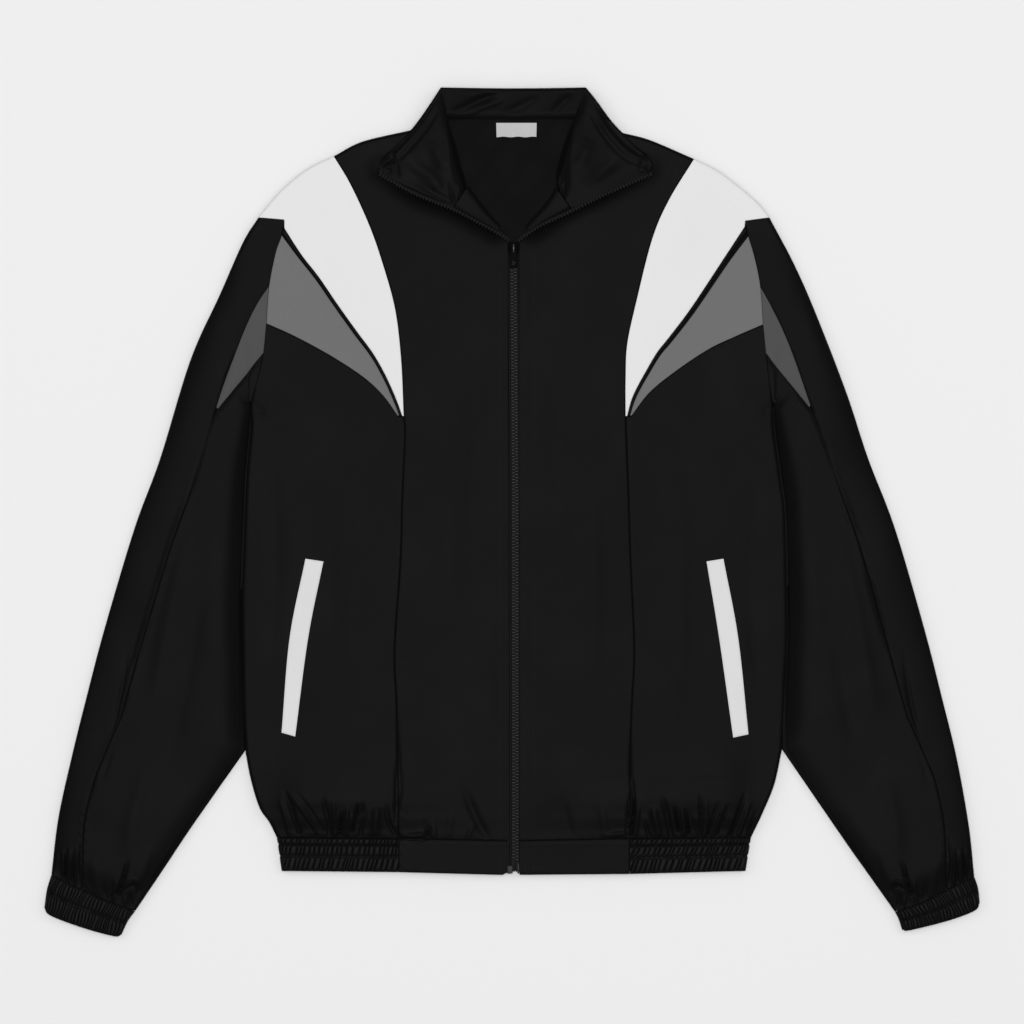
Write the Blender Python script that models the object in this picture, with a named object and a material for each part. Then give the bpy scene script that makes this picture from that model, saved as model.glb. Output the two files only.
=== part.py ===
"""A zipped windbreaker laid flat on its back, with its collar opened.

Frame: +X is the right of the picture, +Y runs from the hem to the collar, and +Z is up,
off the surface. The origin is the middle of the footprint, at the surface. Sizes are in
millimetres and are turned into metres where the meshes are made.

Each piece of cloth is a wall over a plan that its seams bound: four edge lines, blended
across. The back lies on the surface, the fronts lie on the back, the sleeves are flattened
tubes beside them, and the collar's turned-out leaves lie on the fronts.
"""
import math

import bmesh
import bpy
import numpy as np

MM = 0.001

# ---------------------------------------------------------------- driving sizes, mm
ZIP_X = 1.5            # the zip's centre line, right of the footprint's middle
CLOTH = 1.4            # one wall of cloth with what backs it
DOUBLE = 1.8           # collar and turned-out facing, two walls in one
ELASTIC = 2.0          # shirred band of cloth over elastic
SEAM_GAP = 0.32        # between two pieces at a seam
SLEEVE_GAP = 1.4       # at the armhole and the cuff, where the seams bend in space
FRONT_TOP = 6.2        # top of the front where it lies on the back
FRONT_FOLD = 3.5       # height where the front's edge ends, round a side fold
BACK_FOLD = 2.7        # height where the back's edge ends, round a side fold
FOLD_RUN = 3.0         # how far in a side fold starts to round over
HEM_UP = -299.5        # height of the hem seam in plan
CUFF_TOP = 5.6         # top of a cuff between its pleats
HEM_TOP = 5.8          # top of the hem band between its pleats
ARM_CLEAR = 1.0        # the sleeve's inner fold to the body's side
PLEAT_HIGH = 1.4       # how far a pleat of shirred cloth stands up
HEM_PLEATS = 22        # pleats on each front part of the elastic hem
CUFF_PLEATS = 16       # pleats across the top of a cuff

# colours, linear, with roughness and metallic
BLACK = ((0.0103, 0.0103, 0.0108), 0.62, 0.0)
WHITE = ((0.78, 0.78, 0.78), 0.62, 0.0)
GREY = ((0.165, 0.165, 0.165), 0.62, 0.0)
DARK_GREY = ((0.083, 0.083, 0.083), 0.62, 0.0)
PALE = ((0.63, 0.63, 0.63), 0.62, 0.0)
ZIP_BLACK = ((0.012, 0.012, 0.012), 0.38, 0.0)
ZIP_METAL = ((0.02, 0.02, 0.02), 0.34, 0.8)

# ---------------------------------------------------------------- seam lines, mm
# Every row is (out, up): the distance from the zip's centre line, and the height above
# the middle of the garment. A row given twice is a sharp corner.
LINES = {
    "left": {
        "shoulder_out": [(235, 271), (228.5, 279), (212, 297.5), (189, 316), (165.5, 327.5)],
        "shoulder_in": [(165.5, 327.5), (139, 341), (92.5, 352), (73, 358.5)],
        "sleeve_step": [(235, 271), (211, 269)],
        "armhole_top": [(211, 269), (213.5, 254.5), (219, 238.5), (225, 207.5), (227.5, 173.5)],
        "armhole_low": [(227.5, 173.5), (230.5, 144), (235, 123), (242, 100.5)],
        "side_top": [(242, 100.5), (241.5, 77), (245.5, 31), (248.5, -43), (250, -79.5),
                     (249.5, -135), (248.5, -186.5), (247, -219.5)],
        "side_low": [(247, -219.5), (242, -246), (234, -272), (225, -285.5), (218, HEM_UP)],
        "insert_in": [(165.5, 327.5), (150, 301.5), (133, 264.5), (121, 230.5), (109, 187),
                      (103.5, 140.5), (101.2, 88)],
        "princess": [(101.2, 88), (100, 69.5), (102.5, 12.5), (104, -43), (109.5, -125.5),
                     (108, -171.5), (107, -216.5), (106, HEM_UP - 1)],
        "piping_top": [(211, 261), (191, 236), (153.5, 181.5), (129, 146.5), (111.5, 112.5),
                       (102.6, 88.5)],
        "piping_low": [(213.2, 255), (194, 230.5), (153.5, 172.5), (129, 137.5), (115.5, 112.5),
                       (106, 89)],
        "chest_low": [(227.5, 173.5), (201, 161.5), (167, 143), (137.5, 123.5), (120, 107),
                      (106.5, 88.5)],
        "sleeve_out": [(235, 271), (249, 248.5), (270.5, 200), (297.5, 140), (325.5, 49),
                       (349, -15), (376.5, -107), (393.5, -171.5), (406.5, -224), (419, -281),
                       (425.5, -334)],
        "sleeve_in": [(247, -219.5), (295.5, -288.5), (320.5, -326), (348.5, -367.5)],
        "cuff_seam": [(425.5, -334), (398.5, -347.5), (373, -358.5), (348.5, -367.5)],
        "cuff_edge": [(432, -364), (426, -371.5), (397, -382.5), (368, -390.3), (361, -389)],
        "cuff_out": [(425.5, -334), (429.5, -347), (432, -364)],
        "cuff_in": [(348.5, -367.5), (355, -376.5), (361, -389)],
        "welt_out": [(191.5, -43), (206, -115.5), (213.5, -203)],
        "welt_in": [(175, -45.5), (189, -115.5), (201, -206.5)],
        "neck": [(73, 358.5), (64, 334.5), (56.5, 310.5), (38, 284.5), (17.5, 261), (5.3, 247)],
        "teeth": [(3.6, 249.0), (11, 254.3), (25, 262.3), (53.5, 277.3), (92.5, 293.3),
                  (124, 311)],
    },
    "right": {
        "shoulder_out": [(235.5, 271), (226, 283), (208.5, 298.5), (188.5, 313.5), (166, 325)],
        "shoulder_in": [(166, 325), (125, 342.5), (96.5, 350), (72.5, 358.5)],
        "sleeve_step": [(235.5, 271), (213, 268)],
        "armhole_top": [(213, 268), (215, 257), (221.5, 235), (227, 207.5), (229.5, 172.5)],
        "armhole_low": [(229.5, 172.5), (232.5, 143), (234.5, 123), (238, 100.5)],
        "side_top": [(238, 100.5), (239, 77), (245.5, 29), (249, 3), (250.5, -43), (251, -66),
                     (251.5, -111), (249.5, -156), (247, -218.5)],
        "side_low": [(247, -218.5), (240, -250.5), (229, -277.5), (218.5, HEM_UP)],
        "insert_in": [(166, 325), (143, 287.5), (127.5, 251.5), (113, 194.5), (104.5, 155),
                      (103, 123), (103, 88)],
        "princess": [(103, 88), (103.5, 69.5), (105.5, 20), (107.5, -43), (111, -125.5),
                     (109, -171.5), (107.5, -216.5), (107, HEM_UP - 1)],
        "piping_top": [(212.7, 262.5), (179, 212), (131.5, 149.5), (114.5, 121), (104.5, 88.5)],
        "piping_low": [(214.7, 257), (179, 205.5), (131.5, 141), (116.5, 116.5), (107.8, 89)],
        "chest_low": [(229.5, 172.5), (204, 161.5), (179, 149.5), (149, 129.5), (125, 110),
                      (108.3, 88.5)],
        "sleeve_out": [(235.5, 271), (258, 228.5), (277.5, 184.5), (306, 111), (326.5, 49),
                       (351, -15), (378, -107), (394.5, -171.5), (408, -227), (419, -288.5),
                       (424, -335.5)],
        "sleeve_in": [(247, -218.5), (305, -303), (328, -335.5), (351, -368)],
        "cuff_seam": [(424, -335.5), (400, -347.5), (375, -360), (351, -368)],
        "cuff_edge": [(429, -359), (424, -367), (398.5, -376.5), (364, -385), (357.5, -384.3)],
        "cuff_out": [(424, -335.5), (427.5, -346), (429, -359)],
        "cuff_in": [(351, -368), (354.5, -375), (357.5, -384.3)],
        "welt_out": [(193, -43), (206.5, -115.5), (216, -204.5)],
        "welt_in": [(177.5, -45.5), (189, -115.5), (202, -207.5)],
        "neck": [(72.5, 358.5), (63, 334.5), (55, 310.5), (37.5, 284.5), (17.5, 261), (5.3, 247)],
        "teeth": [(3.6, 249.0), (11, 254.3), (24, 263), (50.5, 275.3), (83, 291.5),
                  (127.5, 311)],
    },
}
SIDE_SIGN = {"left": -1.0, "right": 1.0}
FRONT_EDGE = [(5.3, 247), (5.3, HEM_UP - 3)]
HEM_SEAM = {"left": [(106, HEM_UP - 1), (5.3, HEM_UP - 3)],
            "right": [(107, HEM_UP - 1), (5.3, HEM_UP - 3)]}
HEM_EDGE = {"left": [(106, -331.5), (5.3, -334)],
            "right": [(107, -331.5), (5.3, -334)]}
HEM_CORNER = (213.5, -330.5)
BACK_NECK = [(73, 358.5), (61, 360.5), (61, 360.5), (30, 361), (0, 361)]

# share of an edge that each of its lines takes, from the top down or from the fold in
TIP_AT = 0.38          # front_centre: how far down the insert's tip is
NECK_AT = 0.20         # front_centre: how far down the slider is
UNDERARM_AT = 0.17     # front_side: how far down the underarm is
HIP_AT = 0.76          # front_side: how far down the sleeve leaves the side
STEP_AT = 0.12         # sleeve: the shoulder step on the armhole
MID_AT = 0.62          # sleeve: the chest insert's lower corner on the armhole
LEAVE_AT = 0.75        # sleeve: where the inner fold leaves the body's side
ARMHOLE_REACH = 0.16   # sleeve: how far down it the armhole's bend is felt
FRONT_SEAM_AT = 0.44   # sleeve: the front seam's outer bank on the armhole
BACK_SEAM_AT = 0.62    # sleeve: the back seam on the armhole
BACK_SIDE = {"sleeve_step": 0.06, "armhole_top": 0.2, "armhole_low": 0.32, "side_top": 0.8,
             "side_low": 1.0}
BACK_SHOULDER = {"shoulder_out": 0.4, "shoulder_in": 0.76}

# gathers over the elastic hem, from the side in: share along the seam, rise in mm, and
# how far up the gather runs in mm
GATHERS = [
    (0.00, 0.0, 30), (0.06, 0.9, 40), (0.165, -1.7, 55), (0.25, 1.5, 55), (0.355, -1.9, 55),
    (0.39, 1.1, 45), (0.43, -1.5, 50), (0.48, 1.6, 40), (0.53, -1.2, 30), (0.57, 1.2, 30),
    (0.62, -1.8, 40), (0.67, -0.6, 40), (0.74, 1.0, 40), (0.81, 2.2, 40), (0.90, 1.2, 36),
    (0.95, -0.7, 30), (1.00, 0.0, 30),
]
# shares at which the pieces on both sides of a seam have a point, with straight runs
# between: along the inserts' seams from the armhole to the tip, and down the armhole
TIP_RUN = [0, 0.165, 0.355, 0.53, 0.67, 0.81, 1.0]
ARMHOLE_TOP_RUN = [0, 0.15, 0.64, 1.0]
ARMHOLE_LOW_RUN = [0, 0.395, 1.0]
STRAIGHT_AT = {"piping_top": TIP_RUN, "piping_low": TIP_RUN, "chest_low": TIP_RUN,
               "armhole_top": ARMHOLE_TOP_RUN, "armhole_low": ARMHOLE_LOW_RUN,
               "sleeve_step": [0, 1.0]}
# rows of front_side: share down the panel
SIDE_ROWS = [0, 0.067, 0.17, 0.27, 0.39, 0.51, 0.63, 0.76, 0.835, 0.885, 0.925, 0.953,
             0.975, 0.99, 1.0]
# height of the body's front over the hem seam: (mm above the seam, mm of puff)
PUFF = [(0, 0.0), (6, 2.4), (14, 4.4), (26, 5.0), (45, 3.2), (70, 1.0), (100, 0.0)]

# sleeve heights: share down the sleeve, outer fold, crest between, inner fold (mm)
SLEEVE_HEIGHTS = [
    (0.00, 6.2, 6.2, 6.2), (0.06, 5.8, 6.4, 5.2), (0.15, 5.2, 6.6, 4.3), (0.35, 5.0, 6.6, 4.0),
    (0.75, 5.0, 6.6, 4.4), (0.90, 5.4, 8.4, 5.2), (0.96, 6.0, 9.4, 5.8), (1.00, 5.8, 6.2, 5.6),
]
SLEEVE_ROWS = [0, 0.07, 0.15, 0.225, 0.24, 0.33, 0.43, 0.54, 0.65, 0.75, 0.83, 0.90, 0.95,
               1.0]
# the sleeve's seams as shares of the way in from the outer fold: share down the sleeve,
# front seam's outer bank, its inner bank, and the back seam; the sleeve insert lies
# between the two banks and ends where they meet
SLEEVE_SEAMS = {
    "left": [(0.00, FRONT_SEAM_AT, 0.77, BACK_SEAM_AT), (0.24, 0.445, 0.445, 0.50),
             (0.43, 0.335, 0.335, 0.42), (0.62, 0.27, 0.27, 0.34), (0.80, 0.205, 0.205, 0.27),
             (0.85, 0.19, 0.19, 0.24), (0.92, 0.22, 0.22, 0.26), (1.00, 0.36, 0.36, 0.36)],
    "right": [(0.00, FRONT_SEAM_AT, 0.77, BACK_SEAM_AT), (0.24, 0.42, 0.42, 0.50),
              (0.43, 0.335, 0.335, 0.42), (0.62, 0.27, 0.27, 0.34), (0.80, 0.20, 0.20, 0.27),
              (0.85, 0.175, 0.175, 0.23), (0.92, 0.205, 0.205, 0.25), (1.00, 0.34, 0.34, 0.34)],
}

# collar, one row for each station from the zip's end to the middle of the back: out and
# up of its neck side, out and up of its top edge, then the height of the neck seam, of
# the roll and of the top edge
COLLAR = {
    "left": [
        (55.0, 282.5, 121.5, 314.5, 10.2, 10.6, 9.6), (48.5, 291, 117.5, 325.5, 10.4, 11.6, 9.8),
        (43.5, 299.5, 108, 338, 6.0, 12.0, 9.4), (48, 319.5, 98, 347.5, 2.2, 12.2, 9.0),
        (53.5, 340, 87, 361, 2.0, 11.6, 9.4), (58, 353, 75.5, 377.5, 2.0, 9.4, 10.2),
        (60.5, 361.6, 67, 390.5, 2.0, 6.2, 10.6), (30.5, 361.6, 32.5, 390, 2.0, 5.6, 9.6),
        (0, 361.6, 0, 389.8, 2.0, 5.6, 9.4),
    ],
    "right": [
        (52.0, 281.5, 125.5, 314.5, 10.2, 10.6, 9.6), (46.5, 289, 122.5, 327, 10.4, 11.6, 9.8),
        (40.5, 298, 111, 338, 6.0, 12.0, 9.4), (39.5, 316, 100, 349, 2.2, 12.2, 9.0),
        (45, 335.5, 89, 361, 2.0, 11.6, 9.4), (51, 352, 77, 377.5, 2.0, 9.4, 10.2),
        (56, 361.6, 66.5, 390.5, 2.0, 6.2, 10.6), (30, 361.6, 32, 390, 2.0, 5.6, 9.6),
    ],
}
# rows of the collar: share of the way from the neck side to the top edge, and the share
# of the rise from the neck seam to the roll, or past it from the roll to the top edge
COLLAR_ROWS = [(0.0, 0.0), (0.03, 0.5), (0.065, 0.88), (0.16, 1.0), (0.42, 1.3), (0.72, 1.65),
               (1.0, 2.0)]
# turned-out top of each front: out and up of its roll, of its zip edge, and their heights
FACING = {
    "left": [(43.0, 298.0, 54.0, 281.7, 11.4, 10.4), (33.5, 285.5, 40.5, 274.3, 11.0, 10.0),
             (22.5, 272, 25.5, 266.3, 9.6, 9.0), (12.5, 261.5, 13.0, 259.0, 8.0, 7.8)],
    "right": [(40.0, 296.6, 51.0, 280.7, 11.4, 10.4), (33, 286, 39.5, 275.0, 11.0, 10.0),
              (23, 273.5, 26.5, 268.3, 9.6, 9.0), (12.5, 261.5, 13.5, 259.2, 8.0, 7.8)],
}


# ---------------------------------------------------------------- small helpers
def set_up():
    """An empty scene with one collection for the garment and one for cutters."""
    for thing in list(bpy.data.objects):
        bpy.data.objects.remove(thing, do_unlink=True)
    garment = bpy.data.collections.new("windbreaker")
    cutters = bpy.data.collections.new("cutters")
    bpy.context.scene.collection.children.link(garment)
    bpy.context.scene.collection.children.link(cutters)
    return garment, cutters


GARMENT, CUTTERS = set_up()


def material(name, finish):
    colour, roughness, metallic = finish
    made = bpy.data.materials.new(name)
    made.use_nodes = True
    shader = made.node_tree.nodes["Principled BSDF"]
    shader.inputs["Base Color"].default_value = (*colour, 1.0)
    shader.inputs["Roughness"].default_value = roughness
    shader.inputs["Metallic"].default_value = metallic
    return made


def curve_through(points, steps=16):
    """A dense smooth line through the points, sharp where a point is given twice."""
    pieces, current = [], [points[0]]
    for point in points[1:]:
        if point == current[-1]:
            pieces.append(current)
            current = [point]
        else:
            current.append(point)
    pieces.append(current)
    dense = []
    for piece in pieces:
        spots = np.array(piece, float)
        if len(spots) == 2:
            dense.extend(spots)
            continue
        before = 2 * spots[0] - spots[1]
        after = 2 * spots[-1] - spots[-2]
        spots = np.vstack([before, spots, after])
        for k in range(1, len(spots) - 2):
            a, b, c, d = spots[k - 1:k + 3]
            for s in np.linspace(0, 1, steps, endpoint=False):
                dense.append(0.5 * (2 * b + (c - a) * s + (2 * a - 5 * b + 4 * c - d) * s ** 2
                                    + (3 * b - 3 * c + d - a) * s ** 3))
        dense.append(spots[-2])
    return np.array(dense)


def edge(points):
    """A function from a share of the line's length, 0 to 1, to its point."""
    dense = curve_through(points)
    run = np.concatenate([[0], np.cumsum(np.linalg.norm(np.diff(dense, axis=0), axis=1))])
    run = run / run[-1]

    def at(share):
        return np.array([np.interp(share, run, dense[:, k]) for k in range(dense.shape[1])])
    return at


def straightened(line, shares):
    """The line as straight runs between the given shares, so that neighbours agree."""
    spots = np.array([line(share) for share in shares])

    def at(share):
        return np.array([np.interp(share, shares, spots[:, k]) for k in (0, 1)])
    return at


def chained(*parts):
    """Joins edges end to end: each part is (edge, share where it ends)."""
    def at(share):
        start = 0.0
        for part, end in parts:
            if share <= end or end == parts[-1][1]:
                return part((share - start) / (end - start))
            start = end
    return at


def patch(top, bottom, left, right, top_reach=1.0):
    """Blends four edges into a plan: u runs from left to right and v from top to bottom.

    top_reach is how far down the top edge's bend is felt.
    """
    corner = [top(0.0), top(1.0), bottom(0.0), bottom(1.0)]

    def at(u, v):
        across = (1 - u) * left(v) + u * right(v)
        top_bend = top(u) - (1 - u) * corner[0] - u * corner[1]
        low_bend = bottom(u) - (1 - u) * corner[2] - u * corner[3]
        top_share = max(0.0, 1 - v / top_reach) ** (1.0 if top_reach == 1.0 else 2.0)
        return across + top_share * top_bend + v * low_bend
    return at


def table_at(table, share, column):
    """A table's value at a share, eased from row to row."""
    for low, high in zip(table, table[1:]):
        if share <= high[0]:
            s = (share - low[0]) / (high[0] - low[0])
            s = min(max(s, 0.0), 1.0)
            s = s * s * (3 - 2 * s)
            return low[column] + (high[column] - low[column]) * s
    return table[-1][column]


def ramp(value, start, end):
    s = min(max((value - start) / (end - start), 0.0), 1.0)
    return s * s * (3 - 2 * s)


def place(side, spot, high):
    """A point of the garment from (out, up) on one side, and its height."""
    return np.array([ZIP_X + SIDE_SIGN[side] * spot[0], spot[1], high])


def unit(vectors):
    length = np.linalg.norm(vectors, axis=-1, keepdims=True)
    return vectors / np.maximum(length, 1e-9)


def inset(face, gap=SEAM_GAP, sides="tblr"):
    """Draws a face's edges in by half a seam gap, along the cloth."""
    face = face.copy()
    half = gap / 2
    if "t" in sides:
        face[0] += unit(face[1] - face[0]) * half
    if "b" in sides:
        face[-1] += unit(face[-2] - face[-1]) * half
    if "l" in sides:
        face[:, 0] += unit(face[:, 1] - face[:, 0]) * half
    if "r" in sides:
        face[:, -1] += unit(face[:, -2] - face[:, -1]) * half
    return face


def face_normals(face, wrap=False):
    """Unit normals of a grid of points, by differences along its rows and columns."""
    if wrap:
        ring = face[:, :-1]
        across = np.roll(ring, -1, axis=1) - np.roll(ring, 1, axis=1)
        across = np.concatenate([across, across[:, :1]], axis=1)
    else:
        across = np.gradient(face, axis=1)
    down = np.gradient(face, axis=0)
    return unit(np.cross(across, down))


def cloth(name, face, thick, finish, under, relief=None, wrap=False, inner=None):
    """A wall of cloth from its outer face.

    The inner face, unless it is given, is the outer one moved in by the thickness. under
    says which way that is at the face's first columns: -1 down, 1 up. relief raises the
    outer face's points.
    """
    rows, columns = face.shape[:2]
    normals = face_normals(face, wrap)
    inward = normals if normals[:, :3, 2].mean() * under > 0 else -normals
    flat = np.abs(inward[..., 2:]) > 0.85
    inward = np.where(flat, np.sign(inward[..., 2:]) * np.array([0.0, 0.0, 1.0]), inward)
    if inner is None:
        inner = face + inward * thick
    outer = face if relief is None else face - inward * relief[..., None]

    mesh_data = bmesh.new()
    bmesh.ops.create_grid(mesh_data, x_segments=columns - 1, y_segments=rows - 1, size=1.0)
    station = mesh_data.verts.layers.int.new("station")
    for vert in mesh_data.verts:
        column = round((vert.co.x + 1) / 2 * (columns - 1))
        row = round((vert.co.y + 1) / 2 * (rows - 1))
        vert[station] = row * columns + column
        vert.co = outer[row, column] * MM
    if wrap:
        bmesh.ops.remove_doubles(mesh_data, verts=mesh_data.verts, dist=0.00001)
    pushed = bmesh.ops.extrude_face_region(mesh_data, geom=mesh_data.faces[:])
    for vert in [item for item in pushed["geom"] if isinstance(item, bmesh.types.BMVert)]:
        row, column = divmod(vert[station], columns)
        vert.co = inner[row, column] * MM
    bmesh.ops.recalc_face_normals(mesh_data, faces=mesh_data.faces)
    return add_mesh(name, mesh_data, finish)


def add_mesh(name, mesh_data, finish, collection=None):
    mesh = bpy.data.meshes.new(name)
    mesh_data.to_mesh(mesh)
    mesh_data.free()
    thing = bpy.data.objects.new(name, mesh)
    (collection or GARMENT).objects.link(thing)
    thing.data.materials.append(finish)
    return thing


def rolled(face, weights, middle, run=FOLD_RUN, angles=(0, 35, 65)):
    """Rounds a face's first column over towards the middle height of a side fold.

    weights, one for each row, say how far it comes down: 0 leaves the edge as it is.
    Columns are added at the given angles of a quarter round.
    """
    start, toward = face[:, 0], unit(face[:, 1] - face[:, 0])
    toward[:, 2] = 0
    added = []
    for angle in angles:
        turn = math.radians(angle)
        spots = start + toward * run * (1 - math.cos(turn))
        spots[:, 2] += (middle - start[:, 2]) * weights * (1 - math.sin(turn))
        added.append(spots)
    full = start + toward * run
    return np.concatenate([np.stack(added, axis=1), full[:, None], face[:, 1:]], axis=1)


def rolled_top(face, weights, middle):
    """The same for a face's first row."""
    return rolled(face.transpose(1, 0, 2), weights, middle).transpose(1, 0, 2)


# ---------------------------------------------------------------- plans shared by pieces
def side_lines(side):
    lines = {name: edge(points) for name, points in LINES[side].items()}
    for name, shares in STRAIGHT_AT.items():
        lines[name] = straightened(lines[name], shares)
    return lines


EDGES = {side: side_lines(side) for side in LINES}


def puff(up):
    """Rise of the body's front over the hem seam."""
    return table_at(PUFF, up - HEM_UP, 1)


def front_height(out, up):
    """Top of the front at a spot: it puffs over the elastic and less towards the zip."""
    return FRONT_TOP + puff(up) * (0.12 + 0.43 * ramp(out, 20, 105) + 0.45 * ramp(out, 105, 150)
                                   - 0.55 * ramp(out, 190, 225))


def front_face(side, plan, across, down):
    """Points of a piece of the front, lifted to the front's height."""
    face = np.zeros((len(down), len(across), 3))
    for i, v in enumerate(down):
        for j, u in enumerate(across):
            spot = plan(u, v)
            face[i, j] = place(side, spot, front_height(*spot))
    return face


def evenly(count):
    return list(np.linspace(0, 1, count))


WHITE_ROWS = [0, 0.09] + [0.14 + 0.86 * share for share in TIP_RUN]


# ---------------------------------------------------------------- body
def build_front_centre(side, finish):
    """The panel beside the zip, from the shoulder to the hem."""
    lines = EDGES[side]
    left = chained((lines["insert_in"], TIP_AT), (lines["princess"], 1.0))
    right = chained((lines["neck"], NECK_AT), (edge(FRONT_EDGE), 1.0))
    plan = patch(lines["shoulder_in"], edge(HEM_SEAM[side]), left, right)
    down = [TIP_AT * v for v in WHITE_ROWS] + [TIP_AT + (1 - TIP_AT) * v for v in SIDE_ROWS[1:]]
    down = sorted(set(down + [NECK_AT]))
    face = front_face(side, plan, evenly(6), down)
    face = rolled_top(face, np.ones(face.shape[1]), FRONT_FOLD)
    return cloth("front_centre_" + side, inset(face), CLOTH, finish, -1)


def build_shoulder_insert(side, finish):
    """The white panel that comes over the shoulder and ends in a point."""
    lines = EDGES[side]
    start = lines["piping_top"](0.0)
    corner = lines["sleeve_step"](1.0)
    left = chained((lines["sleeve_step"], WHITE_ROWS[1]),
                   (edge([tuple(corner), tuple(start)]), WHITE_ROWS[2]),
                   (lines["piping_top"], 1.0))
    tip = edge([tuple(lines["piping_top"](1.0)), tuple(lines["insert_in"](1.0))])
    plan = patch(lines["shoulder_out"], tip, left, lines["insert_in"])
    face = front_face(side, plan, evenly(6), WHITE_ROWS)
    face = rolled_top(face, np.ones(face.shape[1]), FRONT_FOLD)
    return cloth("shoulder_insert_" + side, inset(face), CLOTH, finish, -1)


def build_piping(side, finish):
    """The black piping between the white and the grey insert, rounded up."""
    lines = EDGES[side]
    plan = patch(lines["piping_top"], lines["piping_low"],
                 edge([tuple(lines["piping_top"](0)), tuple(lines["piping_low"](0))]),
                 edge([tuple(lines["piping_top"](1)), tuple(lines["piping_low"](1))]))
    face = front_face(side, plan, TIP_RUN, [0, 0.5, 1.0])
    relief = np.zeros(face.shape[:2])
    relief[1] = 0.9
    return cloth("piping_" + side, inset(face), CLOTH, finish, -1, relief)


def build_chest_insert(side, finish):
    """The grey panel under the piping."""
    lines = EDGES[side]
    start, knee = ARMHOLE_TOP_RUN[1:3]
    plan = patch(lines["piping_low"], lines["chest_low"],
                 lambda v: lines["armhole_top"](start + (1 - start) * v),
                 edge([tuple(lines["piping_low"](1)), tuple(lines["chest_low"](1))]))
    knee = (knee - start) / (1 - start)
    face = front_face(side, plan, TIP_RUN, [0, knee / 2, knee, 1.0])
    return cloth("chest_insert_" + side, inset(face), CLOTH, finish, -1)


def build_front_side(side, finish):
    """The side panel: armhole, side fold, and gathers over the elastic hem."""
    lines = EDGES[side]
    left = chained((lines["armhole_low"], UNDERARM_AT), (lines["side_top"], HIP_AT),
                   (lines["side_low"], 1.0))
    hem = edge([tuple(lines["side_low"](1.0)), tuple(lines["princess"](1.0))])
    tip = [tuple(lines["chest_low"](1.0)), tuple(lines["princess"](0.0))]
    top = chained((lambda s: lines["chest_low"](s * TIP_RUN[-2]), TIP_RUN[-2]),
                  (lambda s: lines["chest_low"](TIP_RUN[-2] + s * (1 - TIP_RUN[-2])), 0.95),
                  (edge(tip), 1.0))
    plan = patch(top, hem, left, lines["princess"])
    across = [row[0] for row in GATHERS]
    face = front_face(side, plan, across, SIDE_ROWS)
    for j, (_, rise, reach) in enumerate(GATHERS):
        for i in range(len(SIDE_ROWS)):
            above = face[i, j, 1] - HEM_UP
            face[i, j, 2] += rise * (0.45 + 0.55 * ramp(above, 0, 10)) * (1 - ramp(above, 8, reach))
    weights = np.array([ramp(v, UNDERARM_AT - 0.04, UNDERARM_AT + 0.04) for v in SIDE_ROWS])
    face = rolled(face, weights, FRONT_FOLD)
    return cloth("front_side_" + side, inset(face), CLOTH, finish, -1)


def build_back(finish):
    """The back, one panel flat on the surface with its sides and shoulders turned up."""
    def outline(side):
        return chained(*((EDGES[side][name], end) for name, end in BACK_SIDE.items()))

    def shoulders(side):
        return chained(*((EDGES[side][name], end) for name, end in BACK_SHOULDER.items()),
                       (edge(BACK_NECK), 1.0))

    def whole(u):
        side, share = ("left", u * 2) if u < 0.5 else ("right", (1 - u) * 2)
        return place(side, shoulders(side)(share), 0)[:2]

    def edge_of(side):
        return lambda v: place(side, outline(side)(v), 0)[:2]

    hem = edge([tuple(edge_of("left")(1.0)), tuple(edge_of("right")(1.0))])
    plan = patch(whole, hem, edge_of("left"), edge_of("right"))
    half = [0, 0.1, 0.2, 0.29, 0.38, 0.41, 0.5]
    across = half + [1 - u for u in reversed(half[:-1])]
    step, knee, underarm = (BACK_SIDE[name] for name in ("sleeve_step", "armhole_top", "armhole_low"))
    down = [0] + [step + (knee - step) * share for share in ARMHOLE_TOP_RUN]
    down += [knee + (underarm - knee) * share for share in ARMHOLE_LOW_RUN[1:]]
    down += [0.36, 0.44, 0.53, 0.62, 0.71, 0.8, 0.87, 0.94, 1.0]
    face = np.zeros((len(down), len(across), 3))
    for i, v in enumerate(down):
        for j, u in enumerate(across):
            face[i, j, :2] = plan(u, v)
    neck = BACK_SHOULDER["shoulder_in"] / 2
    shoulder = np.array([1.0 if min(u, 1 - u) < neck - 0.005 else 0.0 for u in across])
    face = rolled_top(face, shoulder, BACK_FOLD)
    added = face.shape[0] - len(down)
    side_fold = np.array([0.0] * added + [ramp(v, underarm, underarm + 0.04) for v in down])
    face = rolled(face, side_fold, BACK_FOLD)
    face = rolled(face[:, ::-1], side_fold, BACK_FOLD)[:, ::-1]
    return cloth("back", inset(face), CLOTH, finish, 1)


# ---------------------------------------------------------------- sleeves and cuffs
def sleeve_plan(side):
    """The plan of a sleeve: u from the outer fold in, v from the armhole to the cuff."""
    lines = EDGES[side]
    armhole = chained((lines["sleeve_step"], STEP_AT), (lines["armhole_top"], MID_AT),
                      (lines["armhole_low"], 1.0))

    def inner(v):
        if v <= LEAVE_AT:
            clear = ARM_CLEAR * ramp(v, 0.0, 0.02) * (1 - ramp(v, LEAVE_AT - 0.05, LEAVE_AT))
            clear += ARM_CLEAR * ramp(v, 0.0, 0.03) * (1 - ramp(v, 0.05, 0.16))
            return lines["side_top"]((v / LEAVE_AT) ** 1.5) + np.array([clear, 0])
        return lines["sleeve_in"]((v - LEAVE_AT) / (1 - LEAVE_AT))
    return patch(armhole, lines["cuff_seam"], lines["sleeve_out"], inner, ARMHOLE_REACH)


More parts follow.
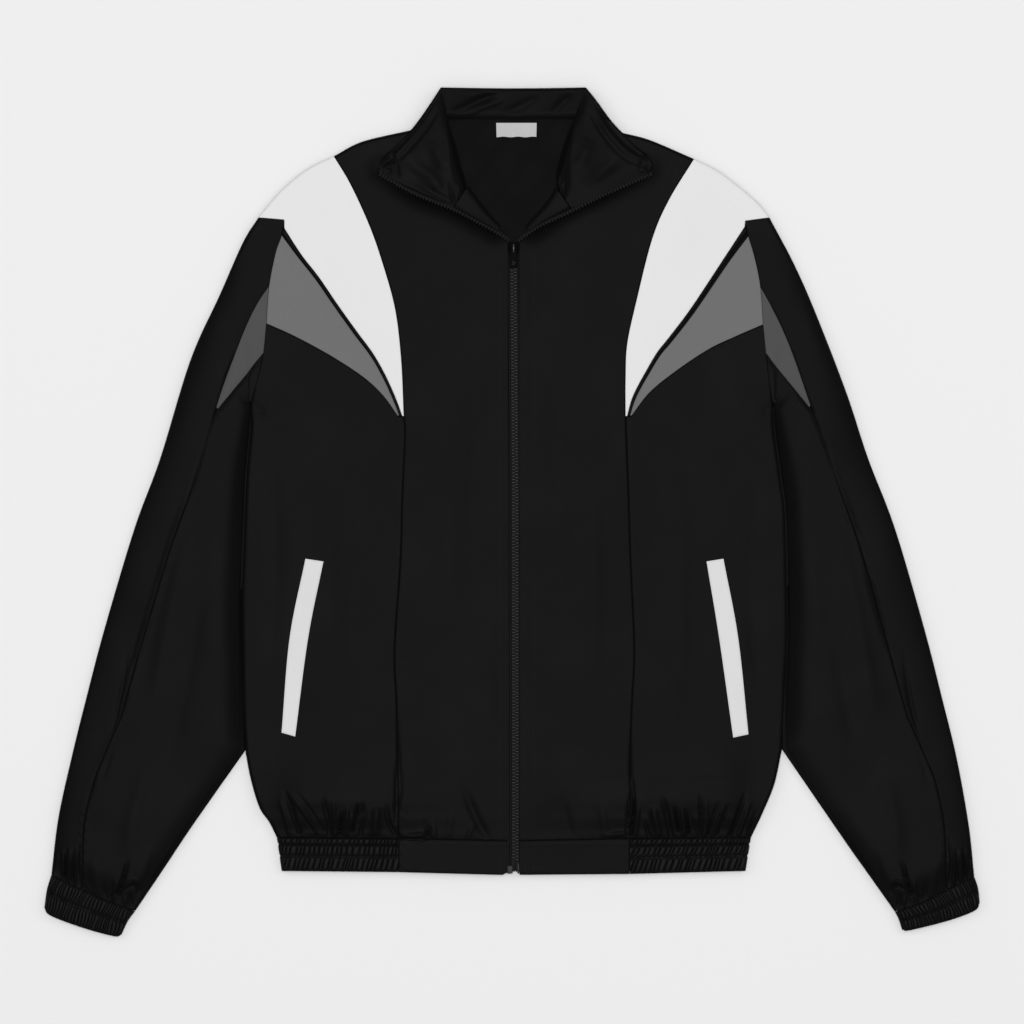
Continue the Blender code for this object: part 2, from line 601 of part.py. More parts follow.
FOLD_RIM = 0.012       # share of a tube's width kept between a fold and the next column
FOLD_CLEAR = 1.5       # the least distance of a column beyond the inner fold's round,
FOLD_REACH = (12, 45)  # which fades out between these distances from the fold


def across_fold(plan, v):
    """The way into a tube from its inner fold, square to the fold.

    The first and last rows run along a seam, and are taken as they are.
    """
    row = unit(plan(0.95, v) - plan(1.0, v))
    along = unit(plan(1.0, min(v + 0.01, 1.0)) - plan(1.0, max(v - 0.01, 0.0)))
    square = np.array([-along[1], along[0]])
    if v in (0, 1):
        return row
    return square


def tube_spot(plan, v, heights, column, depth=0.0):
    """A point on a flattened tube, or that depth inside it. column is (layer, share or angle).

    heights gives the outer fold's height, the crest and the inner fold's height.
    """
    layer, value = column
    outer_high, crest, inner_high = heights
    outer, inner = plan(0.0, v), plan(1.0, v)
    width = np.linalg.norm(inner - outer)
    outer_share = outer_high / 2 / width
    inner_share = inner_high / 2 / width
    if layer == "outer fold":
        radius, start = outer_high / 2, outer
        toward = unit(plan(min(0.08, 3 * outer_share), v) - start)
    elif layer == "inner fold":
        radius, start = inner_high / 2, inner
        toward = across_fold(plan, v)
    if layer.endswith("fold"):
        turn = math.radians(value)
        spot = start + toward * (radius - (radius - depth) * math.cos(turn))
        return spot, radius + (radius - depth) * math.sin(turn)
    if layer == "between folds":
        value = outer_share + (1 - outer_share - inner_share) * value
    else:
        value = min(max(value, outer_share + FOLD_RIM), 1 - inner_share - FOLD_RIM)
    spot = plan(value, v)
    if v > 0 and layer != "between folds":
        aside = across_fold(plan, v)
        short = inner_high / 2 + FOLD_CLEAR - np.dot(spot - inner, aside)
        beside = 1 - ramp(np.linalg.norm(spot - inner), *FOLD_REACH)
        spot = spot + aside * max(0.0, short) * beside
    if layer == "under":
        return spot, depth
    from_outer, from_inner = value * width, (1 - value) * width
    high = (crest - (crest - outer_high) * math.exp(-from_outer / 12)
            - (crest - inner_high) * math.exp(-from_inner / 16))
    return spot, high - depth


def tube_faces(side, plan, down, columns, heights_at, thick):
    """Outer and inner points of a flattened tube, or of a strip of it, a row for each share."""
    faces = np.zeros((2, len(down), len(columns(down[0])), 3))
    for face, depth in zip(faces, (0.0, thick)):
        for i, v in enumerate(down):
            for j, column in enumerate(columns(v)):
                face[i, j] = place(side, *tube_spot(plan, v, heights_at(v), column, depth))
    return faces


def sleeve_heights(v):
    return [table_at(SLEEVE_HEIGHTS, v, k) for k in (1, 2, 3)]


def seam_share(side, v, column):
    table = np.array(SLEEVE_SEAMS[side])
    return float(np.interp(v, table[:, 0], table[:, column]))


FOLD_TURNS = (90, 45, 0, -45, -90)


def sleeve_strip(name, side, plan, down, columns, finish):
    """A strip of the sleeve, with a wider gap at the armhole and at the cuff."""
    face, inner = tube_faces(side, plan, down, columns, sleeve_heights, CLOTH)
    drawn_in = inset(inset(face, sides="lr"), gap=SLEEVE_GAP, sides="tb")
    return cloth(name + side, drawn_in, CLOTH, finish, -1, inner=inner + drawn_in - face)


def build_sleeve_outer(side, finish):
    """The strip that wraps the outer fold, from the front seam to the back one."""
    plan = sleeve_plan(side)
    step_on_front = STEP_AT / FRONT_SEAM_AT
    crease = STEP_AT + (MID_AT - STEP_AT) * ARMHOLE_TOP_RUN[1]
    knee = STEP_AT + (MID_AT - STEP_AT) * ARMHOLE_TOP_RUN[2]
    front_runs = [1.0, 0.7, crease / FRONT_SEAM_AT, step_on_front, 0.1]
    back_runs = [0.07, STEP_AT / BACK_SEAM_AT, crease / BACK_SEAM_AT, knee / BACK_SEAM_AT, 1.0]

    def columns(v):
        front, back = seam_share(side, v, 1), seam_share(side, v, 3)
        return ([("top", front * s) for s in front_runs]
                + [("outer fold", turn) for turn in FOLD_TURNS]
                + [("under", back * s) for s in back_runs])
    return sleeve_strip("sleeve_outer_", side, plan, SLEEVE_ROWS, columns, finish)


def build_sleeve_under(side, finish):
    """The wide strip that wraps the inner fold."""
    plan = sleeve_plan(side)

    def columns(v):
        front, back = seam_share(side, v, 2), seam_share(side, v, 3)
        return ([("top", front + (1 - front) * s) for s in (0, 0.2, 0.45, 0.7, 0.83, 0.92)]
                + [("inner fold", turn) for turn in FOLD_TURNS]
                + [("under", back + (1 - back) * s) for s in (0.93, 0.7, ARMHOLE_LOW_RUN[1], 0)])
    return sleeve_strip("sleeve_under_", side, plan, SLEEVE_ROWS, columns, finish)


def build_sleeve_insert(side, finish):
    """The grey triangle between the sleeve's front banks, at the armhole."""
    plan = sleeve_plan(side)
    tip = SLEEVE_SEAMS[side][1][0]
    down = [v for v in SLEEVE_ROWS if v < tip]

    def columns(v):
        low, high = seam_share(side, v, 1), seam_share(side, v, 2)
        return [("top", low + (high - low) * s) for s in (0, 0.27, 0.545, 0.78, 1.0)]
    return sleeve_strip("sleeve_insert_", side, plan, down, columns, finish)


def pleat_relief(columns, rows, pinched):
    """Rise of shirred cloth: a crest on every second column, pinched at the stitching."""
    relief = np.zeros((len(rows), len(columns)))
    for j, layer in enumerate(columns):
        for i, pinch in enumerate(pinched):
            if layer == "crest":
                relief[i, j] = PLEAT_HIGH * pinch * (1 + 0.25 * math.sin(1.7 * j + 0.6 * i))
            elif layer == "trough":
                relief[i, j] = 0.3 * PLEAT_HIGH * (pinch - 0.4)
    return relief


def build_cuff(side, finish):
    """The elastic cuff, a closed ring with pleats across its top."""
    lines = EDGES[side]
    plan = patch(lines["cuff_seam"], lines["cuff_edge"], lines["cuff_out"], lines["cuff_in"])
    top = np.linspace(0, 1, 2 * CUFF_PLEATS + 1)
    layers = ([("between folds", s) for s in top]
              + [("inner fold", turn) for turn in FOLD_TURNS[1:]]
              + [("under", s) for s in (0.75, 0.5, 0.25)]
              + [("outer fold", -turn) for turn in FOLD_TURNS[:-1]] + [("between folds", 0.0)])
    rows = [0, 0.24, 0.48, 0.74, 1.0]
    face, inner = tube_faces(side, plan, rows, lambda v: layers, lambda v: (CUFF_TOP,) * 3, ELASTIC)
    names = ["crest" if k % 2 else "trough" for k in range(len(top))]
    names += ["plain"] * (len(layers) - len(top))
    names[0] = "plain"
    relief = pleat_relief(names, rows, (0.5, 1.0, 0.4, 1.0, 0.6))
    drawn_in = inset(face, sides="t")
    return cloth("cuff_" + side, drawn_in, ELASTIC, finish, -1, relief, True, inner + drawn_in - face)


# ---------------------------------------------------------------- hem band
def build_hem_flat(side, finish):
    """The plain part of the hem band, beside the zip."""
    seam, low = edge(HEM_SEAM[side]), edge(HEM_EDGE[side])
    plan = patch(seam, low, edge([tuple(seam(0)), tuple(low(0))]),
                 edge([tuple(seam(1)), tuple(low(1))]))
    face = front_face(side, plan, evenly(5), [0, 0.5, 1.0])
    return cloth("hem_flat_" + side, inset(face), CLOTH, finish, -1)


def build_hem_elastic(finish):
    """The shirred hem: front pleats, round both side folds, and plain along the back."""
    rows = [0, 0.17, 0.34, 0.5, 0.66, 0.83, 1.0]
    pleats = np.linspace(0, 1, 2 * HEM_PLEATS + 1)

    def ends(side, v):
        seam_in, seam_out = HEM_SEAM[side][0], EDGES[side]["side_low"](1.0)
        low_in, low_out = HEM_EDGE[side][0], HEM_CORNER
        near = np.array(seam_in) * (1 - v) + np.array(low_in) * v
        far = np.array(seam_out) * (1 - v) + np.array(low_out) * v
        return near, far

    def strip(side, v):
        near, far = ends(side, v)
        radius = HEM_TOP / 2
        far_top = far - np.array([radius, 0])
        spots = [place(side, near + (far_top - near) * s, HEM_TOP) for s in pleats]
        for turn in FOLD_TURNS[1:]:
            angle = math.radians(turn)
            spot = far_top + np.array([radius * math.cos(angle), 0])
            spots.append(place(side, spot, radius + radius * math.sin(angle)))
        return spots

    face = []
    for v in rows:
        left, right = strip("left", v), strip("right", v)
        start, end = left[-1], right[-1]
        under = [start + (end - start) * s for s in evenly(9)[1:-1]]
        face.append(left + under + right[::-1])
    front = ["crest" if k % 2 else "trough" for k in range(len(pleats))]
    front[0] = "plain"
    plain = ["plain"] * (len(face[0]) - 2 * len(front))
    relief = pleat_relief(front + plain + front[::-1], rows, (0.5, 1.0, 0.4, 1.0, 0.4, 1.0, 0.6))
    return cloth("hem_elastic", inset(np.array(face)), ELASTIC, finish, -1, relief)


# ---------------------------------------------------------------- collar
def collar_stations():
    left = [(place("left", row[:2], 0), place("left", row[2:4], 0), row[4:])
            for row in COLLAR["left"]]
    right = [(place("right", row[:2], 0), place("right", row[2:4], 0), row[4:])
             for row in COLLAR["right"]]
    return left + right[::-1]


def build_collar(finish):
    """The stand collar, opened flat: its leaves lie on the fronts, and its back rises."""
    stations = collar_stations()
    face = np.zeros((len(COLLAR_ROWS), len(stations), 3))
    for j, (neck, top, (seam_high, roll_high, top_high)) in enumerate(stations):
        for i, (share, rise) in enumerate(COLLAR_ROWS):
            spot = neck + (top - neck) * share
            if rise <= 1:
                spot[2] = seam_high + (roll_high - seam_high) * rise
            else:
                spot[2] = roll_high + (top_high - roll_high) * (rise - 1)
            face[i, j] = spot
    return cloth("collar", inset(face), DOUBLE, finish, -1)


# across a facing: share of the way from its roll to its zip edge, and the drop below
# the line between them; the first column turns down behind the roll
FACING_COLUMNS = [(-0.8, 3.2), (0.0, 1.0), (0.3, 0.2), (1.0, 0.0)]
ROLL_BACK = 1.2        # how far behind the roll its first column lies
FACING_FULL = 12.0     # width from which the drops are full


def build_facing(side, finish):
    """The top of the front, turned out along the open zip, from its roll to the teeth."""
    face = np.zeros((len(FACING[side]), len(FACING_COLUMNS), 3))
    for i, (roll_out, roll_up, zip_out, zip_up, roll_high, zip_high) in enumerate(FACING[side]):
        roll = np.array([roll_out, roll_up])
        run = np.array([zip_out, zip_up]) - roll
        deep = min(1.0, np.linalg.norm(run) / FACING_FULL)
        for j, (share, drop) in enumerate(FACING_COLUMNS):
            spot = roll + run * max(share, 0.0)
            if share < 0:
                spot = roll - unit(run) * ROLL_BACK
            high = roll_high + (zip_high - roll_high) * max(share, 0.0) - drop * deep
            face[i, j] = place(side, spot, high)
    face = inset(face)
    return cloth("facing_" + side, face, DOUBLE, finish, -1, inner=face - [0, 0, DOUBLE])


# ---------------------------------------------------------------- what lies on a panel
LAID_THICK = 1.0       # a welt or a label laid on a panel
LABEL_WIDE, LABEL_TALL = 36.0, 12.5
LABEL_SPOT = (ZIP_X + 2.5, 351.0)


def build_welt(side, finish):
    """The pale pocket welt, on the side panel."""
    lines = EDGES[side]
    top = edge([tuple(lines["welt_out"](0)), tuple(lines["welt_in"](0))])
    low = edge([tuple(lines["welt_out"](1)), tuple(lines["welt_in"](1))])
    plan = patch(top, low, lines["welt_out"], lines["welt_in"])
    face = front_face(side, plan, [0, 0.5, 1.0], evenly(8))
    face[..., 2] += SEAM_GAP + LAID_THICK
    return cloth("pocket_welt_" + side, face, LAID_THICK, finish, -1)


def build_label(finish):
    """The blank woven label inside the back neck."""
    middle, up = LABEL_SPOT
    face = np.zeros((2, 3, 3))
    for i, along in enumerate((LABEL_TALL / 2, -LABEL_TALL / 2)):
        for j, across in enumerate((-LABEL_WIDE / 2, 0, LABEL_WIDE / 2)):
            face[i, j] = (middle + across, up + along, CLOTH + SEAM_GAP + LAID_THICK)
    return cloth("neck_label", face, LAID_THICK, finish, -1)


# ---------------------------------------------------------------- zip
TAPE_WIDE = 15.0
TAPE_IN = 0.4          # the tape's inner edge from the centre line
TAPE_LOW, TAPE_TOP = 3.42, 4.42
TAPE_UP = (-331.0, 238.0)
CHAIN_WIDE = 7.4
CHAIN_LOW, CHAIN_TOP = 4.8, 7.0
CHAIN_UP = (-322.0, 239.2)
BOX_WIDE = 9.2         # the retaining box at the zip's lower end
BOX_TOP = 7.4
BOX_UP = (-333.4, -322.4)
TEETH_RADIUS = 1.3     # the open rows, as a plain bar
TEETH_HEIGHTS = [(0.0, 7.7), (0.08, 7.8), (0.2, 8.4), (0.35, 9.2), (0.5, 9.6), (0.65, 9.6),
                 (0.82, 9.2), (1.0, 8.6)]
SLIDER_WIDE = 11.0
SLIDER_UP = (235.0, 247.5)
PLATE_THICK = 1.2
PLATE_LOWS = (1.75, 7.35)
POST_WIDE = 2.4
POST_UP = (240.0, 245.0)
BAIL_UP = 242.6        # middle of the bail along the zip
BAIL_HALF, BAIL_RISE, BAIL_RADIUS = 3.8, 4.2, 0.8
SUNK = 0.5             # how far the post and the bail reach into a plate
PULL_AXIS = (ZIP_X, 243.2, 9.9)
PULL_THICK = 1.5
# the pull's outline and its slot, across and along from the swing's axis
PULL_HALF, PULL_NECK = 3.7, 3.1
PULL_TOP, PULL_WAIST, PULL_SHOULDER, PULL_LOW = 1.0, -6.6, -8.4, -18.6
PULL_CORNER = 1.4
SLOT_HALF, SLOT_TOP, SLOT_LOW = 1.7, -0.75, -6.15


def box(name, low, high, finish, bevel=0.0, collection=None):
    """A box between two corners, in mm, with its edges bevelled if wanted."""
    mesh_data = bmesh.new()
    bmesh.ops.create_cube(mesh_data, size=1.0)
    low, high = np.array(low, float), np.array(high, float)
    for vert in mesh_data.verts:
        share = np.array(vert.co) + 0.5
        vert.co = (low + (high - low) * share) * MM
    if bevel:
        bmesh.ops.bevel(mesh_data, geom=mesh_data.edges[:], offset=bevel * MM, segments=1,
                        affect="EDGES", clamp_overlap=True)
    return add_mesh(name, mesh_data, finish, collection)


def build_tapes(finishes):
    for side, sign in SIDE_SIGN.items():
        near, far = sorted((ZIP_X + sign * TAPE_IN, ZIP_X + sign * TAPE_WIDE))
        box("zip_tape_" + side, (near, TAPE_UP[0], TAPE_LOW), (far, TAPE_UP[1], TAPE_TOP),
            finishes[side])


def build_chain(chain_finish, box_finish):
    """The closed teeth as one bar, and the retaining box below them."""
    half = CHAIN_WIDE / 2
    box("zip_chain", (ZIP_X - half, CHAIN_UP[0], CHAIN_LOW), (ZIP_X + half, CHAIN_UP[1], CHAIN_TOP),
        chain_finish, bevel=0.5)
    half = BOX_WIDE / 2
    box("zip_box", (ZIP_X - half, BOX_UP[0], CHAIN_LOW), (ZIP_X + half, BOX_UP[1], BOX_TOP),
        box_finish, bevel=0.6)


def line_curve(name, spots, radius, resolution):
    """A round bar along spots in mm, as a curve."""
    curve = bpy.data.curves.new(name, "CURVE")
    curve.dimensions = "3D"
    curve.bevel_depth = radius * MM
    curve.bevel_resolution = resolution
    curve.use_fill_caps = True
    spline = curve.splines.new("POLY")
    spline.points.add(len(spots) - 1)
    for point, spot in zip(spline.points, spots):
        point.co = (*(np.array(spot) * MM), 1.0)
    return curve


def build_open_teeth(side, finish):
    """The open row of teeth along the turned-out edge, as a plain rounded bar."""
    line = edge(LINES[side]["teeth"])
    spots = [place(side, line(share), high) for share, high in TEETH_HEIGHTS]
    curve = line_curve("zip_row_" + side, spots, TEETH_RADIUS, 1)
    thing = bpy.data.objects.new("zip_row_" + side, curve)
    GARMENT.objects.link(thing)
    thing.data.materials.append(finish)
    return thing


def meshed(name, curve, finish):
    """A curve made a mesh among the cutters, with its caps welded."""
    source = bpy.data.objects.new(name + "_line", curve)
    CUTTERS.objects.link(source)
    bpy.context.view_layer.update()
    shape = source.evaluated_get(bpy.context.evaluated_depsgraph_get())
    mesh = bpy.data.meshes.new_from_object(shape)
    mesh_data = bmesh.new()
    mesh_data.from_mesh(mesh)
    bmesh.ops.remove_doubles(mesh_data, verts=mesh_data.verts, dist=0.00001)
    bmesh.ops.recalc_face_normals(mesh_data, faces=mesh_data.faces)
    bpy.data.objects.remove(source, do_unlink=True)
    bpy.data.meshes.remove(mesh)
    return add_mesh(name, mesh_data, finish, CUTTERS)


def union(base, tools):
    for tool in tools:
        joint = base.modifiers.new("join " + tool.name, "BOOLEAN")
        joint.operation = "UNION"
        joint.object = tool
        tool.hide_render = True
        tool.display_type = "WIRE"


def build_slider(finish):
    """Two plates round a post, with the bail that the pull hangs from."""
    half = SLIDER_WIDE / 2
    low_plate, top_plate = PLATE_LOWS
    slider = box("zip_slider", (ZIP_X - half, SLIDER_UP[0], top_plate),
                 (ZIP_X + half, SLIDER_UP[1], top_plate + PLATE_THICK), finish, bevel=0.4)
    lower = box("slider_lower_plate", (ZIP_X - half, SLIDER_UP[0], low_plate),
                (ZIP_X + half, SLIDER_UP[1], low_plate + PLATE_THICK), finish, 0.3, CUTTERS)
    post = box("slider_post", (ZIP_X - POST_WIDE / 2, POST_UP[0], low_plate + SUNK),
               (ZIP_X + POST_WIDE / 2, POST_UP[1], top_plate + SUNK), finish, 0.0, CUTTERS)
    spots = []
    for step in range(9):
        turn = math.pi * step / 8
        spots.append((ZIP_X, BAIL_UP + BAIL_HALF * math.cos(turn),
                      top_plate + PLATE_THICK - SUNK + BAIL_RISE * math.sin(turn)))
    bail = meshed("slider_bail", line_curve("slider_bail", spots, BAIL_RADIUS, 2), finish)
    union(slider, [lower, post, bail])
    return slider


def build_pull(finish):
    """The pull: a flat plate with a slot for the bail; its origin is on the swing's axis."""
    half = [(PULL_NECK, PULL_TOP), (PULL_NECK, PULL_WAIST), (PULL_HALF, PULL_SHOULDER),
            (PULL_HALF, PULL_LOW + PULL_CORNER), (PULL_HALF - PULL_CORNER, PULL_LOW)]
    outline = half + [(-across, along) for across, along in reversed(half)]
    slot = [(SLOT_HALF, SLOT_TOP), (SLOT_HALF, SLOT_LOW), (-SLOT_HALF, SLOT_LOW),
            (-SLOT_HALF, SLOT_TOP)]
    curve = bpy.data.curves.new("zip_pull", "CURVE")
    curve.dimensions = "2D"
    curve.fill_mode = "BOTH"
    curve.extrude = PULL_THICK / 2 * MM
    for ring in (outline, slot):
        spline = curve.splines.new("POLY")
        spline.use_cyclic_u = True
        spline.points.add(len(ring) - 1)
        for point, (across, along) in zip(spline.points, ring):
            point.co = (across * MM, along * MM, 0.0, 1.0)
    pull = bpy.data.objects.new("zip_pull", curve)
    GARMENT.objects.link(pull)
    pull.location = np.array(PULL_AXIS) * MM
    pull.data.materials.append(finish)
    return pull


# ---------------------------------------------------------------- the garment
def build():
    build_back(material("back", BLACK))
    for side in LINES:
        build_front_centre(side, material("front_centre_" + side, BLACK))
        build_front_side(side, material("front_side_" + side, BLACK))
        build_shoulder_insert(side, material("shoulder_insert_" + side, WHITE))
        build_piping(side, material("piping_" + side, BLACK))
        build_chest_insert(side, material("chest_insert_" + side, GREY))
        build_sleeve_outer(side, material("sleeve_outer_" + side, BLACK))
        build_sleeve_under(side, material("sleeve_under_" + side, BLACK))
        build_sleeve_insert(side, material("sleeve_insert_" + side, DARK_GREY))
        build_cuff(side, material("cuff_" + side, BLACK))
        build_hem_flat(side, material("hem_flat_" + side, BLACK))
        build_facing(side, material("facing_" + side, BLACK))
        build_welt(side, material("pocket_welt_" + side, PALE))
        build_open_teeth(side, material("zip_row_" + side, ZIP_BLACK))
    build_hem_elastic(material("hem_elastic", BLACK))
    build_collar(material("collar", BLACK))
    build_label(material("neck_label", PALE))
    build_tapes({side: material("zip_tape_" + side, BLACK) for side in LINES})
    build_chain(material("zip_chain", ZIP_BLACK), material("zip_box", ZIP_BLACK))
    build_slider(material("zip_slider", ZIP_METAL))
    build_pull(material("zip_pull", ZIP_METAL))


build()
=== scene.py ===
# %% [markdown]
# # A zipped windbreaker, laid flat on its back
# The jacket lies on a pale table, its zip closed up to the chest and its collar opened.
# The imported model gives the size, the place and the hinge of the zip's pull; this lesson
# dresses it in cloth, stitching and teeth. First the frame is loaded.

# %% Load the frame
import math

import bpy
import numpy as np
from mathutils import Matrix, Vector


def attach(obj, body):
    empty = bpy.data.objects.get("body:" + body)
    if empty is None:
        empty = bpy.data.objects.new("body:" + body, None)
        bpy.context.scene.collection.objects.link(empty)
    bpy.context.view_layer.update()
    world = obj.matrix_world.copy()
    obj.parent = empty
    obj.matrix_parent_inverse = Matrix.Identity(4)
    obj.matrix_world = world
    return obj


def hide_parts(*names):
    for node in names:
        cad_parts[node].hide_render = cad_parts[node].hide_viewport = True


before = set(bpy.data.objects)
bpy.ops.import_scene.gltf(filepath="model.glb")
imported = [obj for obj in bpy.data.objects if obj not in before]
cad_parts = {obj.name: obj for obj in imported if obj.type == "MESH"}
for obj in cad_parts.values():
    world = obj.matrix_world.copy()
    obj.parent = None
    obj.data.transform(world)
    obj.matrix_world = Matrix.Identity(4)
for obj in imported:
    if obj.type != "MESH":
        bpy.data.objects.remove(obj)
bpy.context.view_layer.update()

# %% [markdown]
# Sizes are in millimetres here, and the meshes are made in metres. The photograph looks
# straight down, and one of its pixels covers 0.92 mm of the jacket, so a crease can be
# placed by the pixels where it is seen: spot() turns them into millimetres.

# %% Measures
MM = 0.001
PIXEL = 0.92
MIDDLE = (511.7, 513.5)
ZIP_X = 1.5
WALL = 0.7             # the cloth's own thickness
DOUBLE = 1.5           # collar and facing, two layers
FRONT_TOP = 6.2
FRONT_FOLD = 3.5
BACK_FOLD = 2.7
FOLD_RUN = 3.0
HEM_UP = -299.5
CUFF_TOP = 5.6
HEM_TOP = 5.8
SIGN = {"left": -1.0, "right": 1.0}


def spot(px, py):
    return ((px - MIDDLE[0]) * PIXEL, (MIDDLE[1] - py) * PIXEL)


print("photograph's width at the jacket:", 1024 * PIXEL, "mm")

# %% [markdown]
# The camera is above the middle of the picture, far off with a long lens, as for a
# catalogue. One very large soft light hangs over the table, behind the camera, two weak
# ones stand at its sides and a pale sky fills in. Cloth that lies flat then mirrors the
# light above and is brightest, and every slope and fold turns darker.

# %% Camera, lights and table
CAMERA_HIGH = 5.5
camera_data = bpy.data.cameras.new("camera")
camera_data.sensor_width = 36.0
camera_data.lens = 36.0 * (CAMERA_HIGH - FRONT_TOP * MM) / (1024 * PIXEL * MM)
camera = bpy.data.objects.new("camera", camera_data)
bpy.context.scene.collection.objects.link(camera)
camera.location = (0.0, 0.0, CAMERA_HIGH)
bpy.context.scene.camera = camera


def soft_light(name, place, size, power):
    """A square light at a place, turned to the jacket."""
    data = bpy.data.lights.new(name, "AREA")
    data.size = size
    data.energy = power
    light = bpy.data.objects.new(name, data)
    bpy.context.scene.collection.objects.link(light)
    light.location = place
    light.rotation_euler = (-Vector(place)).to_track_quat("-Z", "Y").to_euler()


LIGHTS = {                  # place and size in metres, power in watts
    "soft_above": ((0.0, 0.15, 6.5), 2.6, 235),
    "soft_left": ((-2.4, 0.9, 1.8), 1.4, 8),
    "soft_right": ((2.4, 0.9, 1.8), 1.4, 8),
}
for name, (place, size, power) in LIGHTS.items():
    soft_light(name, place, size, power)

world = bpy.data.worlds.new("sky")
bpy.context.scene.world = world
world.use_nodes = True
world.node_tree.nodes["Background"].inputs["Color"].default_value = (1, 1, 1, 1)
SKY_STRENGTH = 0.35
world.node_tree.nodes["Background"].inputs["Strength"].default_value = SKY_STRENGTH
bpy.context.scene.view_settings.view_transform = "Standard"

bpy.ops.object.select_all(action="DESELECT")
TABLE_WIDE, TABLE_DOWN = 9.0, 0.0004
bpy.ops.mesh.primitive_plane_add(size=TABLE_WIDE, location=(0, 0, -TABLE_DOWN))
table_top = bpy.context.object
table_top.name = "table"
table_paint = bpy.data.materials.new("table_paint")
table_paint.use_nodes = True
table_shader = table_paint.node_tree.nodes["Principled BSDF"]
table_shader.inputs["Base Color"].default_value = (0.88, 0.88, 0.88, 1)
table_shader.inputs["Roughness"].default_value = 0.9
table_shader.inputs["Specular IOR Level"].default_value = 0.1
table_top.data.materials.append(table_paint)
print("camera lens:", round(camera_data.lens, 1), "mm")

# %% [markdown]
# The shell is thin black polyester with a peached face: matt, with a faint bloom where it
# turns away from the light. Two crossed waves make the weave, on the piece's own UV map
# in metres so that the threads follow the cut, and a broad noise varies colour and
# roughness a little, as handling does. Numbers that are the same all over are set on the
# shader itself.


# %% Cloth finishes
def node(tree, kind, **inputs):
    made = tree.nodes.new(kind)
    for name, value in inputs.items():
        made.inputs[name.replace("_", " ")].default_value = value
    return made


def cloth_finish(name, colour, thread=0.45, rough=0.42, bump=0.5, sheen=0.01, gloss=0.028,
                 spread=0.1):
    """Woven cloth: crossed threads, uneven colour and roughness, and a light sheen."""
    made = bpy.data.materials.new(name)
    made.use_nodes = True
    tree = made.node_tree
    shader = tree.nodes["Principled BSDF"]
    shader.inputs["Specular IOR Level"].default_value = gloss
    shader.inputs["Sheen Weight"].default_value = sheen
    shader.inputs["Sheen Roughness"].default_value = 0.45
    coords = tree.nodes.new("ShaderNodeTexCoord")
    links = tree.links
    uneven = node(tree, "ShaderNodeTexNoise", Scale=14.0, Detail=5.0, Roughness=0.6)
    links.new(coords.outputs["Object"], uneven.inputs["Vector"])
    fine = node(tree, "ShaderNodeTexNoise", Scale=900.0, Detail=2.0, Roughness=0.6)
    links.new(coords.outputs["Object"], fine.inputs["Vector"])
    both = node(tree, "ShaderNodeMath")
    both.operation = "MULTIPLY"
    links.new(uneven.outputs["Fac"], both.inputs[0])
    links.new(fine.outputs["Fac"], both.inputs[1])
    tint = tree.nodes.new("ShaderNodeValToRGB")
    tint.color_ramp.elements[0].position = 0.1
    tint.color_ramp.elements[1].position = 0.4
    tint.color_ramp.elements[0].color = (*[c * (1 - spread) for c in colour], 1)
    tint.color_ramp.elements[1].color = (*[min(1, c * (1 + spread)) for c in colour], 1)
    links.new(both.outputs["Value"], tint.inputs["Fac"])
    links.new(tint.outputs["Color"], shader.inputs["Base Color"])
    rougher = node(tree, "ShaderNodeMapRange")
    rougher.inputs["To Min"].default_value = rough - 0.06
    rougher.inputs["To Max"].default_value = rough + 0.06
    links.new(uneven.outputs["Fac"], rougher.inputs["Value"])
    links.new(rougher.outputs["Result"], shader.inputs["Roughness"])
    weave = None
    for direction in ("X", "Y"):
        wave = node(tree, "ShaderNodeTexWave", Scale=1000.0 / thread / 20.0 * 3.14159,
                    Distortion=0.6, Detail=1.0)
        wave.bands_direction = direction
        links.new(coords.outputs["UV"], wave.inputs["Vector"])
        if weave is None:
            weave = wave.outputs["Fac"]
        else:
            cross = node(tree, "ShaderNodeMath")
            cross.operation = "MAXIMUM"
            links.new(weave, cross.inputs[0])
            links.new(wave.outputs["Fac"], cross.inputs[1])
            weave = cross.outputs["Value"]
    raised = node(tree, "ShaderNodeBump", Strength=bump, Distance=0.00004)
    links.new(weave, raised.inputs["Height"])
    grain = node(tree, "ShaderNodeBump", Strength=bump * 0.6, Distance=0.00006)
    links.new(fine.outputs["Fac"], grain.inputs["Height"])
    links.new(raised.outputs["Normal"], grain.inputs["Normal"])
    links.new(grain.outputs["Normal"], shader.inputs["Normal"])
    return made


BLACK_CLOTH = cloth_finish("black_cloth", (0.0031, 0.0031, 0.0032))
INNER_CLOTH = cloth_finish("inner_cloth", (0.0024, 0.0024, 0.0025), gloss=0.019)
ELASTIC_CLOTH = cloth_finish("elastic_cloth", (0.0042, 0.0042, 0.0043), thread=0.6, gloss=0.045)
WHITE_CLOTH = cloth_finish("white_cloth", (0.79, 0.79, 0.79), spread=0.02)
GREY_CLOTH = cloth_finish("grey_cloth", (0.16, 0.16, 0.16), spread=0.05)
# the sleeve's insert is the chest insert's grey cloth painted darker: painted shade for its tilted
# surface
GREY_CLOTH_PAINTED_SHADE = cloth_finish("grey_cloth_painted_shade", (0.077, 0.077, 0.077), spread=0.05)
PALE_CLOTH = cloth_finish("pale_cloth", (0.72, 0.72, 0.72), spread=0.03)
PIPING_CLOTH = cloth_finish("piping_cloth", (0.0034, 0.0034, 0.0035), thread=0.35, gloss=0.045)
TAPE_CLOTH = cloth_finish("tape_cloth", (0.009, 0.009, 0.009), thread=0.8, bump=0.8)
LABEL_CLOTH = cloth_finish("label_cloth", (0.53, 0.53, 0.53), thread=0.3, spread=0.04)
THREAD = cloth_finish("thread", (0.007, 0.007, 0.007), thread=0.3, gloss=0.07)
print("finishes:", len(bpy.data.materials))

